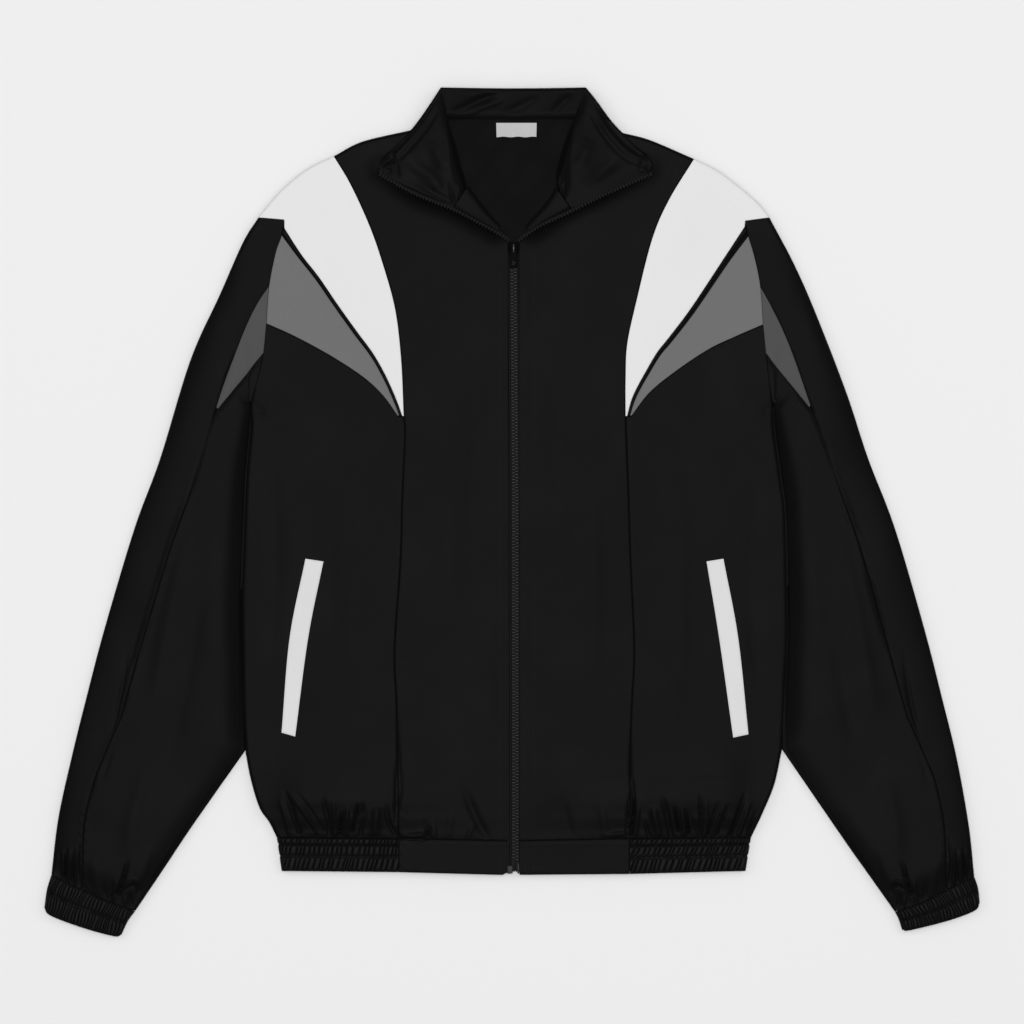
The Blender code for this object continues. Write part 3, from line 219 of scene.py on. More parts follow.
# %% [markdown]
# The seams are the drawing of the jacket. Each line is given by a few points, as its
# distance out from the zip and its height above the middle; between them it is a smooth
# curve, and a point given twice is a sharp corner. They are the lines of the packed
# solids, so every panel lies where its solid is; only the piping is drawn a little
# narrower and closer to its line in the photograph.

# %% The seam lines
LINES = {
    "left": {
        "shoulder_out": [(235, 271), (228.5, 279), (212, 297.5), (189, 316), (165.5, 327.5)],
        "shoulder_in": [(165.5, 327.5), (139, 341), (92.5, 352), (73, 358.5)],
        "sleeve_step": [(235, 271), (211, 269)],
        "armhole_top": [(211, 269), (213.5, 254.5), (219, 238.5), (225, 207.5), (227.5, 173.5)],
        "armhole_low": [(227.5, 173.5), (230.5, 144), (235, 123), (242, 100.5)],
        "side_top": [(242, 100.5), (241.5, 77), (245.5, 31), (248.5, -43), (250, -79.5),
                     (249.5, -135), (248.5, -186.5), (247, -219.5)],
        "side_low": [(247, -219.5), (242, -246), (234, -272), (225, -285.5), (218, HEM_UP)],
        "insert_in": [(165.5, 327.5), (150, 301.5), (133, 264.5), (121, 230.5), (109, 187),
                      (103.5, 140.5), (101.2, 88)],
        "princess": [(101.2, 88), (100, 69.5), (102.5, 12.5), (104, -43), (109.5, -125.5),
                     (108, -171.5), (107, -216.5), (106, HEM_UP - 1)],
        "piping_top": [(211, 261), (195.1, 236.4), (179, 215.7), (161.7, 190.3),
                       (144.5, 166.3), (128.4, 144.3), (116.8, 123.4), (107.6, 102.6),
                       (102.6, 88.5)],
        "piping_low": [(213, 255.5), (197.5, 234.6), (181.4, 213.9), (164.1, 188.7),
                       (146.9, 164.5), (130.8, 142.7), (119.4, 122.2), (110.2, 101.6),
                       (105.4, 89)],
        "chest_low": [(227.5, 173.5), (201, 161.5), (167, 143), (137.5, 123.5), (120, 107),
                      (106.5, 88.5)],
        "sleeve_out": [(235, 271), (249, 248.5), (270.5, 200), (297.5, 140), (325.5, 49),
                       (349, -15), (376.5, -107), (393.5, -171.5), (406.5, -224), (419, -281),
                       (425.5, -334)],
        "sleeve_in": [(247, -219.5), (295.5, -288.5), (320.5, -326), (348.5, -367.5)],
        "cuff_seam": [(425.5, -334), (398.5, -347.5), (373, -358.5), (348.5, -367.5)],
        "cuff_edge": [(432, -364), (426, -371.5), (397, -382.5), (368, -390.3), (361, -389)],
        "cuff_out": [(425.5, -334), (429.5, -347), (432, -364)],
        "cuff_in": [(348.5, -367.5), (355, -376.5), (361, -389)],
        "welt_out": [(191.5, -43), (206, -115.5), (213.5, -203)],
        "welt_in": [(175, -45.5), (189, -115.5), (201, -206.5)],
        "neck": [(73, 358.5), (64, 334.5), (56.5, 310.5), (38, 284.5), (17.5, 261), (5.3, 247)],
        "teeth": [(3.6, 249.0), (11, 254.3), (25, 262.3), (53.5, 277.3), (92.5, 293.3),
                  (124, 311)],
    },
    "right": {
        "shoulder_out": [(235.5, 271), (226, 283), (208.5, 298.5), (188.5, 313.5), (166, 325)],
        "shoulder_in": [(166, 325), (125, 342.5), (96.5, 350), (72.5, 358.5)],
        "sleeve_step": [(235.5, 271), (213, 268)],
        "armhole_top": [(213, 268), (215, 257), (221.5, 235), (227, 207.5), (229.5, 172.5)],
        "armhole_low": [(229.5, 172.5), (232.5, 143), (234.5, 123), (238, 100.5)],
        "side_top": [(238, 100.5), (239, 77), (245.5, 29), (249, 3), (250.5, -43), (251, -66),
                     (251.5, -111), (249.5, -156), (247, -218.5)],
        "side_low": [(247, -218.5), (240, -250.5), (229, -277.5), (218.5, HEM_UP)],
        "insert_in": [(166, 325), (143, 287.5), (127.5, 251.5), (113, 194.5), (104.5, 155),
                      (103, 123), (103, 88)],
        "princess": [(103, 88), (103.5, 69.5), (105.5, 20), (107.5, -43), (111, -125.5),
                     (109, -171.5), (107.5, -216.5), (107, HEM_UP - 1)],
        "piping_top": [(212.7, 262.5), (194, 234), (163.6, 188), (142.9, 160.5),
                       (131.9, 146.6), (121, 128.1), (113.4, 114.3), (108.2, 102.6),
                       (104.5, 88.5)],
        "piping_low": [(214.5, 257.5), (196.4, 232.4), (166, 186.4), (145.3, 158.7),
                       (134.3, 145), (123.6, 126.7), (116, 112.9), (111, 101.6),
                       (107.2, 89)],
        "chest_low": [(229.5, 172.5), (204, 161.5), (179, 149.5), (149, 129.5), (125, 110),
                      (108.3, 88.5)],
        "sleeve_out": [(235.5, 271), (258, 228.5), (277.5, 184.5), (306, 111), (326.5, 49),
                       (351, -15), (378, -107), (394.5, -171.5), (408, -227), (419, -288.5),
                       (424, -335.5)],
        "sleeve_in": [(247, -218.5), (305, -303), (328, -335.5), (351, -368)],
        "cuff_seam": [(424, -335.5), (400, -347.5), (375, -360), (351, -368)],
        "cuff_edge": [(429, -359), (424, -367), (398.5, -376.5), (364, -385), (357.5, -384.3)],
        "cuff_out": [(424, -335.5), (427.5, -346), (429, -359)],
        "cuff_in": [(351, -368), (354.5, -375), (357.5, -384.3)],
        "welt_out": [(193, -43), (206.5, -115.5), (216, -204.5)],
        "welt_in": [(177.5, -45.5), (189, -115.5), (202, -207.5)],
        "neck": [(72.5, 358.5), (63, 334.5), (55, 310.5), (37.5, 284.5), (17.5, 261), (5.3, 247)],
        "teeth": [(3.6, 249.0), (11, 254.3), (24, 263), (50.5, 275.3), (83, 291.5),
                  (127.5, 311)],
    },
}
FRONT_EDGE = [(5.3, 247), (5.3, HEM_UP - 3)]
HEM_SEAM = {"left": [(106, HEM_UP - 1), (5.3, HEM_UP - 3)],
            "right": [(107, HEM_UP - 1), (5.3, HEM_UP - 3)]}
HEM_EDGE = {"left": [(106, -331.5), (10.4, -334)],
            "right": [(107, -333.2), (5.3, -334)]}
HEM_CORNER = (213.5, -330.5)
BACK_NECK = [(73, 358.5), (62, 362.2), (62, 362.2), (30, 363), (0, 363)]
TIP_AT, NECK_AT = 0.38, 0.20
UNDERARM_AT, HIP_AT = 0.17, 0.76
STEP_AT, MID_AT = 0.12, 0.62
LEAVE_AT, ARMHOLE_REACH = 0.75, 0.16
FRONT_SEAM_AT, BACK_SEAM_AT = 0.44, 0.62
BACK_SIDE = {"sleeve_step": 0.06, "armhole_top": 0.2, "armhole_low": 0.32, "side_top": 0.8,
             "side_low": 1.0}
BACK_SHOULDER = {"shoulder_out": 0.4, "shoulder_in": 0.76}
print("lines a side:", len(LINES["left"]))

# %% [markdown]
# A pattern cutter draws with a few curves, and so does this lesson. edge() turns a seam
# into a function of the share of its length, and patch() blends four such edges into a
# panel's plan. A blend was chosen over filling an outline, because its rows and columns
# follow the seams, and so does the weave on them.


# %% Curves and patches
def curve_through(points, steps=16):
    """A dense smooth line through the points, sharp where a point is given twice."""
    pieces, current = [], [points[0]]
    for point in points[1:]:
        if point == current[-1]:
            pieces.append(current)
            current = [point]
        else:
            current.append(point)
    pieces.append(current)
    dense = []
    for piece in pieces:
        spots = np.array(piece, float)
        if len(spots) == 2:
            dense.extend(spots)
            continue
        spots = np.vstack([2 * spots[0] - spots[1], spots, 2 * spots[-1] - spots[-2]])
        for k in range(1, len(spots) - 2):
            a, b, c, d = spots[k - 1:k + 3]
            for s in np.linspace(0, 1, steps, endpoint=False):
                dense.append(0.5 * (2 * b + (c - a) * s + (2 * a - 5 * b + 4 * c - d) * s ** 2
                                    + (3 * b - 3 * c + d - a) * s ** 3))
        dense.append(spots[-2])
    return np.array(dense)


def edge(points):
    """A function from shares of the line's length, 0 to 1, to its points."""
    dense = curve_through(points)
    run = np.concatenate([[0], np.cumsum(np.linalg.norm(np.diff(dense, axis=0), axis=1))])

    def at(share):
        share = np.asarray(share, float) * run[-1]
        return np.stack([np.interp(share, run, dense[:, k]) for k in range(dense.shape[1])], -1)
    at.length = run[-1]
    return at


def chained(*parts):
    """Joins edges end to end: each part is (edge, share where it ends)."""
    def at(share):
        share = np.asarray(share, float)
        points = np.zeros(share.shape + (2,))
        start = 0.0
        for part, end in parts:
            inside = (share >= start) & ((share <= end) | (end == parts[-1][1]))
            points[inside] = part((share[inside] - start) / (end - start))
            start = end
        return points
    return at


def patch(top, bottom, left, right, top_reach=1.0):
    """Blends four edges into a plan: u runs from left to right and v from top to bottom."""
    corner = [top(0.0), top(1.0), bottom(0.0), bottom(1.0)]

    def at(u, v):
        u, v = np.broadcast_arrays(np.asarray(u, float), np.asarray(v, float))
        a, b = u[..., None], v[..., None]
        across = (1 - a) * left(v) + a * right(v)
        top_bend = top(u) - (1 - a) * corner[0] - a * corner[1]
        low_bend = bottom(u) - (1 - a) * corner[2] - a * corner[3]
        felt = np.maximum(0.0, 1 - b / top_reach) ** (1.0 if top_reach == 1.0 else 2.0)
        return across + felt * top_bend + b * low_bend
    return at


def ramp(value, start, end):
    s = np.clip((np.asarray(value, float) - start) / (end - start), 0.0, 1.0)
    return s * s * (3 - 2 * s)


def table_at(table, share, column):
    """A table's value at a share, eased from row to row."""
    rows = np.array(table, float)
    share = np.clip(np.asarray(share, float), rows[0, 0], rows[-1, 0])
    k = np.clip(np.searchsorted(rows[:, 0], share, side="right") - 1, 0, len(rows) - 2)
    s = (share - rows[k, 0]) / (rows[k + 1, 0] - rows[k, 0])
    s = s * s * (3 - 2 * s)
    return rows[k, column] + (rows[k + 1, column] - rows[k, column]) * s


def line_between(a, b):
    return edge([tuple(np.asarray(a, float)), tuple(np.asarray(b, float))])


EDGES = {side: {name: edge(points) for name, points in LINES[side].items()} for side in LINES}
print("side seam, left:", round(EDGES["left"]["side_top"].length), "mm")

# %% [markdown]
# Cloth is never flat. Its larger creases are drawn one by one: each is a stroke of a few
# pixels' points with a width and a rise in millimetres, a trough where the rise is less
# than nothing, and how strong it is at its first and last point. Under them lies a slow
# waviness made of a few long sines. The same field is read by every panel that it
# crosses, so a crease runs on over a seam.

# %% Creases
# (points in pixels, width mm, rise mm, strength at the start, at the end)
HEM_GATHERS = [
    ([(284, 792), (290, 806), (294, 820), (299, 833)], 2.6, -1.9, 0.1, 1.0),
    ([(279, 800), (285, 818), (289, 834)], 2.4, 0.9, 0.1, 0.9),
    ([(295, 793), (306, 806), (316, 820), (323, 833)], 1.5, -0.9, 0.1, 0.8),
    ([(291, 797), (302, 811), (310, 823), (315, 834)], 2.6, 1.3, 0.1, 0.9),
    ([(304, 819), (311, 829), (316, 838)], 1.4, -0.9, 0.2, 1.0),
    ([(322, 797), (325, 810), (328, 822), (329, 836)], 2.8, -1.5, 0.1, 0.9),
    ([(333, 800), (334, 816), (335, 836)], 2.4, 1.3, 0.1, 1.0),
    ([(342, 813), (341, 822), (340, 835)], 1.8, -2.2, 0.1, 1.0),
    ([(347, 806), (347, 820), (346, 836)], 2.0, 1.3, 0.1, 1.0),
    ([(358, 806), (356, 817), (352, 832)], 2.0, -2.4, 0.2, 1.0),
    ([(363, 802), (362, 812), (357, 826)], 1.6, -1.3, 0.1, 0.8),
    ([(366, 812), (362, 826), (360, 837)], 2.2, -1.5, 0.1, 0.8),
    ([(377, 806), (376, 818), (375, 832)], 5.5, 2.0, 0.0, 0.9),
    ([(386, 806), (388, 822), (394, 834), (401, 841)], 2.4, -1.8, 0.1, 1.0),
    ([(396, 760), (396, 790), (395, 818)], 2.2, -1.1, 0.0, 0.3),
    ([(404, 838), (412, 838), (421, 837)], 3.4, 1.6, 0.3, 0.9),
    ([(424, 822), (427, 832), (426.5, 839), (419, 843), (408, 843)], 1.5, -1.7, 0.1, 0.6),
    ([(431, 822), (434, 832), (433, 841)], 2.6, 1.0, 0.1, 0.6),
    ([(462, 786), (470, 806), (478, 824), (486, 838)], 5.0, -1.3, 0.0, 0.7),
    ([(474, 826), (470, 833), (467, 841)], 2.2, 0.9, 0.2, 0.8),
    ([(452, 810), (450, 826), (446, 840)], 4.0, 0.6, 0.0, 0.8),
]
HEM_GATHERS_RIGHT = [
    ([(632, 780), (633.5, 806), (632.5, 820), (630, 836)], 1.8, -2.0, 0.1, 0.8),
    ([(629, 796), (628, 818), (627, 836)], 1.6, -1.3, 0.1, 0.8),
    ([(638, 806), (637, 820), (635, 836)], 2.4, 1.3, 0.1, 0.8),
    ([(652, 806), (655, 820), (658, 834)], 5.0, 2.0, 0.0, 0.8),
    ([(645, 824), (647, 832), (649, 838)], 1.8, -1.7, 0.2, 1.0),
    ([(661, 798), (666, 814), (669, 828), (671, 838)], 3.2, -2.0, 0.1, 1.0),
    ([(674, 810), (676, 820), (678, 832)], 1.8, -2.8, 0.3, 0.8),
    ([(681, 806), (683, 820), (684, 836)], 2.4, 1.5, 0.1, 0.9),
    ([(685, 812), (687, 822), (688, 835)], 1.7, -2.4, 0.2, 0.9),
    ([(689, 814), (694, 826), (699, 838)], 1.4, -1.4, 0.2, 1.0),
    ([(700, 794), (700, 815), (700, 838)], 1.7, -1.4, 0.1, 1.0),
    ([(706, 800), (706, 818), (704, 836)], 2.4, 1.1, 0.1, 0.9),
    ([(718, 804), (712, 820), (707, 837)], 1.6, -1.3, 0.1, 1.0),
    ([(724, 804), (719, 820), (713, 836)], 1.8, 1.2, 0.1, 0.9),
    ([(729, 806), (723, 820), (716, 837)], 1.5, -1.2, 0.1, 1.0),
    ([(745, 794), (739, 812), (734, 826), (729, 838)], 2.2, -2.1, 0.1, 1.0),
    ([(750, 802), (744, 820), (738, 836)], 2.4, 1.2, 0.1, 0.9),
    ([(756, 812), (750, 828), (747, 838)], 1.8, -1.4, 0.1, 0.9),
    ([(604, 838), (616, 836), (626, 835)], 3.5, 1.2, 0.2, 0.6),
    ([(560, 796), (566, 820), (570, 838)], 6.0, -0.7, 0.0, 0.6),
    ([(600, 800), (603, 820), (606, 838)], 5.0, 0.7, 0.0, 0.6),
]
CUFF_GATHERS = [
    ([(59, 854), (60.5, 866), (61.5, 880)], 1.5, -1.6, 0.1, 1.0),
    ([(62.5, 852), (63, 866), (63, 880)], 1.4, 1.0, 0.1, 0.9),
    ([(66, 850), (65.5, 864), (64.5, 881)], 1.5, -1.9, 0.1, 1.0),
    ([(69.5, 850), (68.5, 866), (68, 883)], 1.6, 1.2, 0.1, 0.9),
    ([(74, 850), (73, 868), (72, 885)], 1.6, -1.9, 0.1, 1.0),
    ([(76.5, 856), (75.5, 870), (76, 886)], 1.4, 1.0, 0.1, 0.9),
    ([(81, 838), (78, 862), (80, 880), (83, 890)], 2.2, -1.8, 0.1, 1.0),
    ([(92, 856), (94, 874), (97, 892)], 6.0, 0.8, 0.0, 0.7),
    ([(128, 862), (125.5, 870), (123.5, 879), (120.5, 889), (119, 895)], 2.0, -2.6, 0.1, 1.0),
    ([(119, 894), (113, 896), (109, 901)], 1.4, -1.8, 0.6, 0.8),
    ([(116, 880), (115, 890), (113, 902)], 2.4, 1.3, 0.1, 0.8),
    ([(120, 891.5), (126.5, 885.5), (133, 882.5), (138, 885)], 1.6, 1.9, 0.6, 0.4),
    ([(126, 890.5), (132.5, 887), (137.5, 890), (138, 895)], 1.5, -2.0, 0.6, 0.4),
    ([(128.5, 895), (130, 901), (131.5, 909)], 1.6, -1.5, 0.2, 1.0),
    ([(124, 897), (125, 903), (126, 910)], 1.6, 1.2, 0.2, 1.0),
    ([(150, 846), (147, 862), (141, 880)], 4.5, 0.5, 0.0, 0.6),
    ([(104, 884), (104, 893), (106, 903)], 1.8, -1.3, 0.1, 1.0),
]
PRINCESS_FOLDS = [
    ([(397, 700), (397.5, 740), (398.5, 762), (400, 790), (396.5, 812), (395, 824)],
     1.6, -0.7, 0.0, 0.9),
    ([(404, 770), (405, 795), (403, 815)], 2.6, 0.25, 0.0, 0.4),
    ([(391, 776), (392, 795), (390, 812)], 2.4, 0.25, 0.0, 0.4),
    ([(630, 730), (630, 770), (632, 790)], 1.6, -0.5, 0.0, 0.9),
]
SOFT_FOLDS = [
    ([(470, 300), (476, 420), (470, 560)], 9.0, 0.55, 0.0, 0.0),
    ([(440, 420), (450, 540), (446, 700)], 11.0, -0.5, 0.0, 0.0),
    ([(560, 330), (556, 470), (566, 640)], 10.0, -0.5, 0.0, 0.0),
    ([(590, 420), (594, 560), (590, 720)], 8.0, 0.5, 0.0, 0.0),
    ([(352, 440), (346, 560), (352, 700)], 10.0, 0.6, 0.0, 0.0),
    ([(270, 430), (276, 560), (268, 680)], 8.0, -0.5, 0.0, 0.0),
    ([(672, 450), (680, 600), (672, 740)], 10.0, 0.6, 0.0, 0.0),
    ([(758, 450), (752, 600), (760, 700)], 8.0, -0.5, 0.0, 0.0),
    ([(190, 520), (168, 620), (150, 720)], 7.0, 0.6, 0.0, 0.0),
    ([(205, 560), (190, 660), (170, 760)], 8.0, -0.6, 0.0, 0.0),
    ([(150, 760), (135, 810), (128, 860)], 8.0, 0.8, 0.0, 0.2),
    ([(836, 520), (858, 620), (876, 720)], 7.0, 0.6, 0.0, 0.0),
    ([(822, 560), (838, 660), (858, 760)], 8.0, -0.6, 0.0, 0.0),
    ([(878, 760), (892, 810), (898, 860)], 8.0, 0.8, 0.0, 0.2),
    ([(127, 650), (122, 690), (112, 740), (100, 790)], 2.4, -0.8, 0.0, 0.0),
    ([(903, 650), (908, 690), (918, 740), (930, 790)], 2.4, -0.8, 0.0, 0.0),
    ([(240, 395), (252, 408), (266, 416)], 3.4, -0.9, 0.3, 0.0),
    ([(786, 395), (774, 408), (760, 416)], 3.4, -0.9, 0.3, 0.0),
    ([(318, 166), (330, 190), (326, 220)], 7.0, 0.8, 0.0, 0.0),
    ([(300, 190), (318, 215), (352, 232)], 5.0, -0.7, 0.0, 0.0),
    ([(712, 170), (700, 200), (704, 232)], 7.0, 0.8, 0.0, 0.0),
    ([(730, 196), (712, 222), (680, 236)], 5.0, -0.7, 0.0, 0.0),
]


def mirrored(strokes, shift=0.0):
    """The same strokes on the other half of the picture, a little changed."""
    return [([(2 * 513.3 - px + shift, py) for px, py in points], *rest)
            for points, *rest in strokes]


def crisper(strokes, narrower, taller):
    """The same strokes, drawn with a sharper pencil."""
    return [(points, narrower * wide, taller * rise, *rest)
            for points, wide, rise, *rest in strokes]


CREASES = (crisper(HEM_GATHERS + HEM_GATHERS_RIGHT, 0.7, 0.95)
           + crisper(CUFF_GATHERS + mirrored(CUFF_GATHERS, 2.5), 0.75, 0.7)
           + PRINCESS_FOLDS + SOFT_FOLDS)
WAVES = [(0.021, 0.008, 0.3, 0.30), (-0.013, 0.025, 1.9, 0.28), (0.042, -0.017, 4.0, 0.2),
         (0.03, 0.055, 2.6, 0.18), (-0.07, 0.022, 0.9, 0.14), (0.12, 0.05, 2.2, 0.06),
         (-0.06, 0.13, 5.1, 0.06)]


def crease_rise(x, y, strokes=CREASES):
    """Rise of the cloth at places in mm, from the creases and the slow waves."""
    waves = sum(high * np.sin(kx * x + ky * y + start) for kx, ky, start, high in WAVES)
    return waves + strokes_rise(x, y, strokes)


def strokes_rise(x, y, strokes):
    """Rise of the cloth at places in mm, from the strokes alone."""
    flat_x, flat_y = np.ravel(x), np.ravel(y)
    total = np.zeros(flat_x.shape)
    for points, wide, rise, first, last in strokes:
        line = curve_through([spot(*point) for point in points], 6)
        low, high = line.min(0) - 2.6 * wide, line.max(0) + 2.6 * wide
        near = np.flatnonzero((flat_x > low[0]) & (flat_x < high[0])
                              & (flat_y > low[1]) & (flat_y < high[1]))
        if not len(near):
            continue
        here = np.stack([flat_x[near], flat_y[near]], -1)
        best = np.full(len(near), 1e9)
        along = np.zeros(len(near))
        for k, (a, b) in enumerate(zip(line, line[1:])):
            run = b - a
            t = np.clip(((here - a) @ run) / (run @ run), 0, 1)
            gap = np.linalg.norm(here - a - t[:, None] * run, axis=1)
            closer = gap < best
            best[closer] = gap[closer]
            along[closer] = (k + t[closer]) / (len(line) - 1)
        strength = np.interp(along, [0, 0.35, 0.8, 1], [first, 1, 1, last])
        total[near] += rise * strength * np.exp(-(best / wide) ** 2)
    return total.reshape(np.shape(x))


# (distance above the hem's seam, rise), in mm
PUFF = [(0, 0.0), (5, 0.5), (20, 2.7), (34, 3.6), (55, 2.4), (85, 0.7), (115, 0.0)]
LEAF_DIPS = [
    ([(380, 169), (415, 190), (457, 206), (495, 227)], 11.0, -5.0, 0.5, 1.0),
    ([(647, 169), (604, 188), (564, 206), (532, 227)], 11.0, -5.0, 0.5, 1.0),
]


def front_top(x, y):
    """Height of the jacket's front at places in mm: it puffs over the elastic."""
    out = np.abs(x - ZIP_X)
    puffed = table_at(PUFF, y - HEM_UP, 1)
    share = (0.12 + 0.43 * ramp(out, 20, 105) + 0.45 * ramp(out, 105, 150)
             - 0.55 * ramp(out, 190, 225))
    quiet = ramp(out, 4, 26) * (0.35 + 0.65 * ramp(y, 300, 200))
    at_seam = 0.5 + 0.5 * ramp(y - HEM_UP, -2, 4)
    high = FRONT_TOP + puffed * share + crease_rise(x, y) * quiet * at_seam
    return np.maximum(high + strokes_rise(x, y, LEAF_DIPS), 1.6)


print("creases:", len(CREASES))

# %% [markdown]
# A panel is a grid of points over its plan. Its shell has an outer and an inner face and
# a rim, so it is a closed body with the cloth's own thickness. Points crowd together
# beside the seams, where the cloth dips into the stitching.


# %% Grids and shells
def unit(vectors):
    return vectors / np.maximum(np.linalg.norm(vectors, axis=-1, keepdims=True), 1e-9)


def shares(length, step, first="seam", last="seam", low_step=None, low_reach=0.0):
    """Shares along a side of a panel, closer together beside its seams."""
    near = {"seam": [0, 0.3, 0.7, 1.2, 2.4], "fold": [0, FOLD_RUN + 1.0], "plain": [0]}
    start, end = near[first], near[last]
    spots = list(start)
    at = start[-1]
    while True:
        here = low_step if low_step and at > length - low_reach else step
        at += here
        if at > length - end[-1] - 0.6 * here:
            break
        spots.append(at)
    spots += [length - gap for gap in reversed(end)]
    return np.array(spots) / length


def to_seams(points, sides="tblr"):
    """Distance of each point of a grid to the nearest of the sides named."""
    across = np.linalg.norm(np.diff(points, axis=1), axis=2)
    down = np.linalg.norm(np.diff(points, axis=0), axis=2)
    across = np.concatenate([np.zeros((len(points), 1)), np.cumsum(across, 1)], 1)
    down = np.concatenate([np.zeros((1, points.shape[1])), np.cumsum(down, 0)], 0)
    gaps = {"l": across, "r": across[:, -1:] - across, "t": down, "b": down[-1:] - down}
    return np.minimum.reduce([gaps[side] for side in sides] + [np.full(across.shape, 99.0)])


def inset(face, gap=0.32, sides="tblr"):
    """Draws a face's edges in by half a seam gap, along the cloth."""
    face = face.copy()
    if "t" in sides:
        face[0] += unit(face[1] - face[0]) * gap / 2
    if "b" in sides:
        face[-1] += unit(face[-2] - face[-1]) * gap / 2
    if "l" in sides:
        face[:, 0] += unit(face[:, 1] - face[:, 0]) * gap / 2
    if "r" in sides:
        face[:, -1] += unit(face[:, -2] - face[:, -1]) * gap / 2
    return face


def rolled(pair, weights, middle, thick=WALL, turns=(0, 18, 36, 54, 72)):
    """Rounds a pair of faces' first column over, down to the middle of a side fold."""
    made = []
    start, toward = pair[0][:, 0], unit(pair[0][:, 1] - pair[0][:, 0])
    toward[:, 2] = 0
    for face, depth in zip(pair, (0.0, thick)):
        top = face[:, 0, 2]
        added = []
        for turn in turns:
            angle = math.radians(turn)
            run = depth + (FOLD_RUN - depth) * (1 - math.cos(angle))
            spots = start + toward * run
            spots[:, 2] = top + (middle - top) * weights * (1 - math.sin(angle))
            added.append(spots)
        full = start + toward * FOLD_RUN
        full[:, 2] = top
        made.append(np.concatenate([np.stack(added, 1), full[:, None], face[:, 1:]], 1))
    return made


def beside_sleeve(v, start):
    """How much a side seam lies over the sleeve beside it: from the armpit to the hip."""
    return ramp(v, start - 0.03, start) * (1 - ramp(v, HIP_AT - 0.08, HIP_AT - 0.01))


def turned(pair):
    return [face.transpose(1, 0, 2) for face in pair]


def flipped(pair):
    return [face[:, ::-1] for face in pair]


def shell(name, outer, inner, finish, replaced, wrap=False):
    """A closed wall of cloth between two grids of points, given in mm."""
    if wrap:
        outer, inner = outer[:, :-1], inner[:, :-1]
    rows, columns = outer.shape[:2]
    count = rows * columns
    grid = np.arange(count).reshape(rows, columns)
    if wrap:
        grid = np.concatenate([grid, grid[:, :1]], 1)
    a, b = grid[:-1, :-1].ravel(), grid[:-1, 1:].ravel()
    c, d = grid[1:, 1:].ravel(), grid[1:, :-1].ravel()
    normal = np.cross(outer.reshape(-1, 3)[b] - outer.reshape(-1, 3)[a],
                      outer.reshape(-1, 3)[d] - outer.reshape(-1, 3)[a])
    lift = (outer - inner).reshape(-1, 3)[a]
    faces = np.stack([a, b, c, d], 1)
    inside = np.stack([d, c, b, a], 1) + count
    loops = [grid[0], grid[-1][::-1]]
    if not wrap:
        loops += [grid[::-1, 0], grid[:, -1]]
    rims = [np.stack([ring[1:], ring[:-1], ring[:-1] + count, ring[1:] + count], 1)
            for ring in loops]
    faces = np.concatenate([faces, inside] + rims)
    if (normal * lift).sum() < 0:
        faces = faces[:, ::-1]
    mesh = bpy.data.meshes.new(name)
    points = np.concatenate([outer.reshape(-1, 3), inner.reshape(-1, 3)]) * MM
    mesh.from_pydata(points.tolist(), [], faces.tolist())
    across = np.linalg.norm(np.diff(outer, axis=1), axis=2).mean(0)
    down = np.linalg.norm(np.diff(outer, axis=0), axis=2).mean(1)
    u = np.concatenate([[0], np.cumsum(across)]) * MM
    v = np.concatenate([[0], np.cumsum(down)]) * MM
    flat = np.stack(np.meshgrid(u, -v), -1).reshape(-1, 2)
    flat = np.concatenate([flat, flat])
    layer = mesh.uv_layers.new(name="cut")
    corner = np.zeros(len(mesh.loops), int)
    mesh.loops.foreach_get("vertex_index", corner)
    layer.data.foreach_set("uv", flat[corner].ravel())
    return finished(name, mesh, finish, replaced)


def finished(name, mesh, finish, replaced=(), body="jacket", angle=55):
    """Puts a mesh in the scene, shades it, hangs it on its body and hides the solids it stands
    for.
    """
    thing = bpy.data.objects.new(name, mesh)
    bpy.context.scene.collection.objects.link(thing)
    mesh.materials.append(finish)
    bpy.ops.object.select_all(action="DESELECT")
    thing.select_set(True)
    bpy.context.view_layer.objects.active = thing
    bpy.ops.object.shade_smooth_by_angle(angle=math.radians(angle))
    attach(thing, body)
    if replaced:
        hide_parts(*replaced)
    return thing


CUTS = {}                   # each sheet's width, length and area, in metres


def declare(thing, points):
    """Says what the sheet was cut to: its widest row, its longest column and its area."""
    across = np.linalg.norm(np.diff(points, axis=1), axis=2).sum(1).max() * MM
    down = np.linalg.norm(np.diff(points, axis=0), axis=2).sum(0).max() * MM
    a = points[1:, 1:] - points[:-1, :-1]
    b = points[1:, :-1] - points[:-1, 1:]
    area = np.linalg.norm(np.cross(a, b), axis=2).sum() / 2 * MM * MM
    if area < 0.4 * across * down:
        across = 2 * area / down       # a slanting triangle, measured square to its length
    across, down = max(across, 0.0101), max(down, 0.0101)
    area = min(max(area, 0.301 * across * down), across * down)
    CUTS[thing.name] = (round(across, 3), round(down, 3), round(area, 4))


print("cloth thickness:", WALL, "mm")

# %% [markdown]
# ## The body
# Each front is five panels. All of them take their height from the same field, so they
# meet at the seams. Along a seam the cloth dips, and on both sides of it stands a low
# ridge where the turned-in edges lie underneath. At the shoulder and at the side the
# cloth rounds over the fold instead, down to where the back's cloth comes up.


# %% The fronts
SEAM_DEEP = 0.4


def seam_dip(gap, run, deep=SEAM_DEEP):
    """Dip beside a seam, the ridge of its turned-in edges, and small puckers."""
    pucker = 0.10 * np.sin(run / 1.7) + 0.08 * np.sin(run / 0.83 + 1.3)
    return (-deep * (1 - ramp(gap, 0.0, 0.9)) + 0.08 * np.exp(-((gap - 3.6) / 2.0) ** 2)
            + pucker * np.exp(-(gap / 4.0) ** 2))


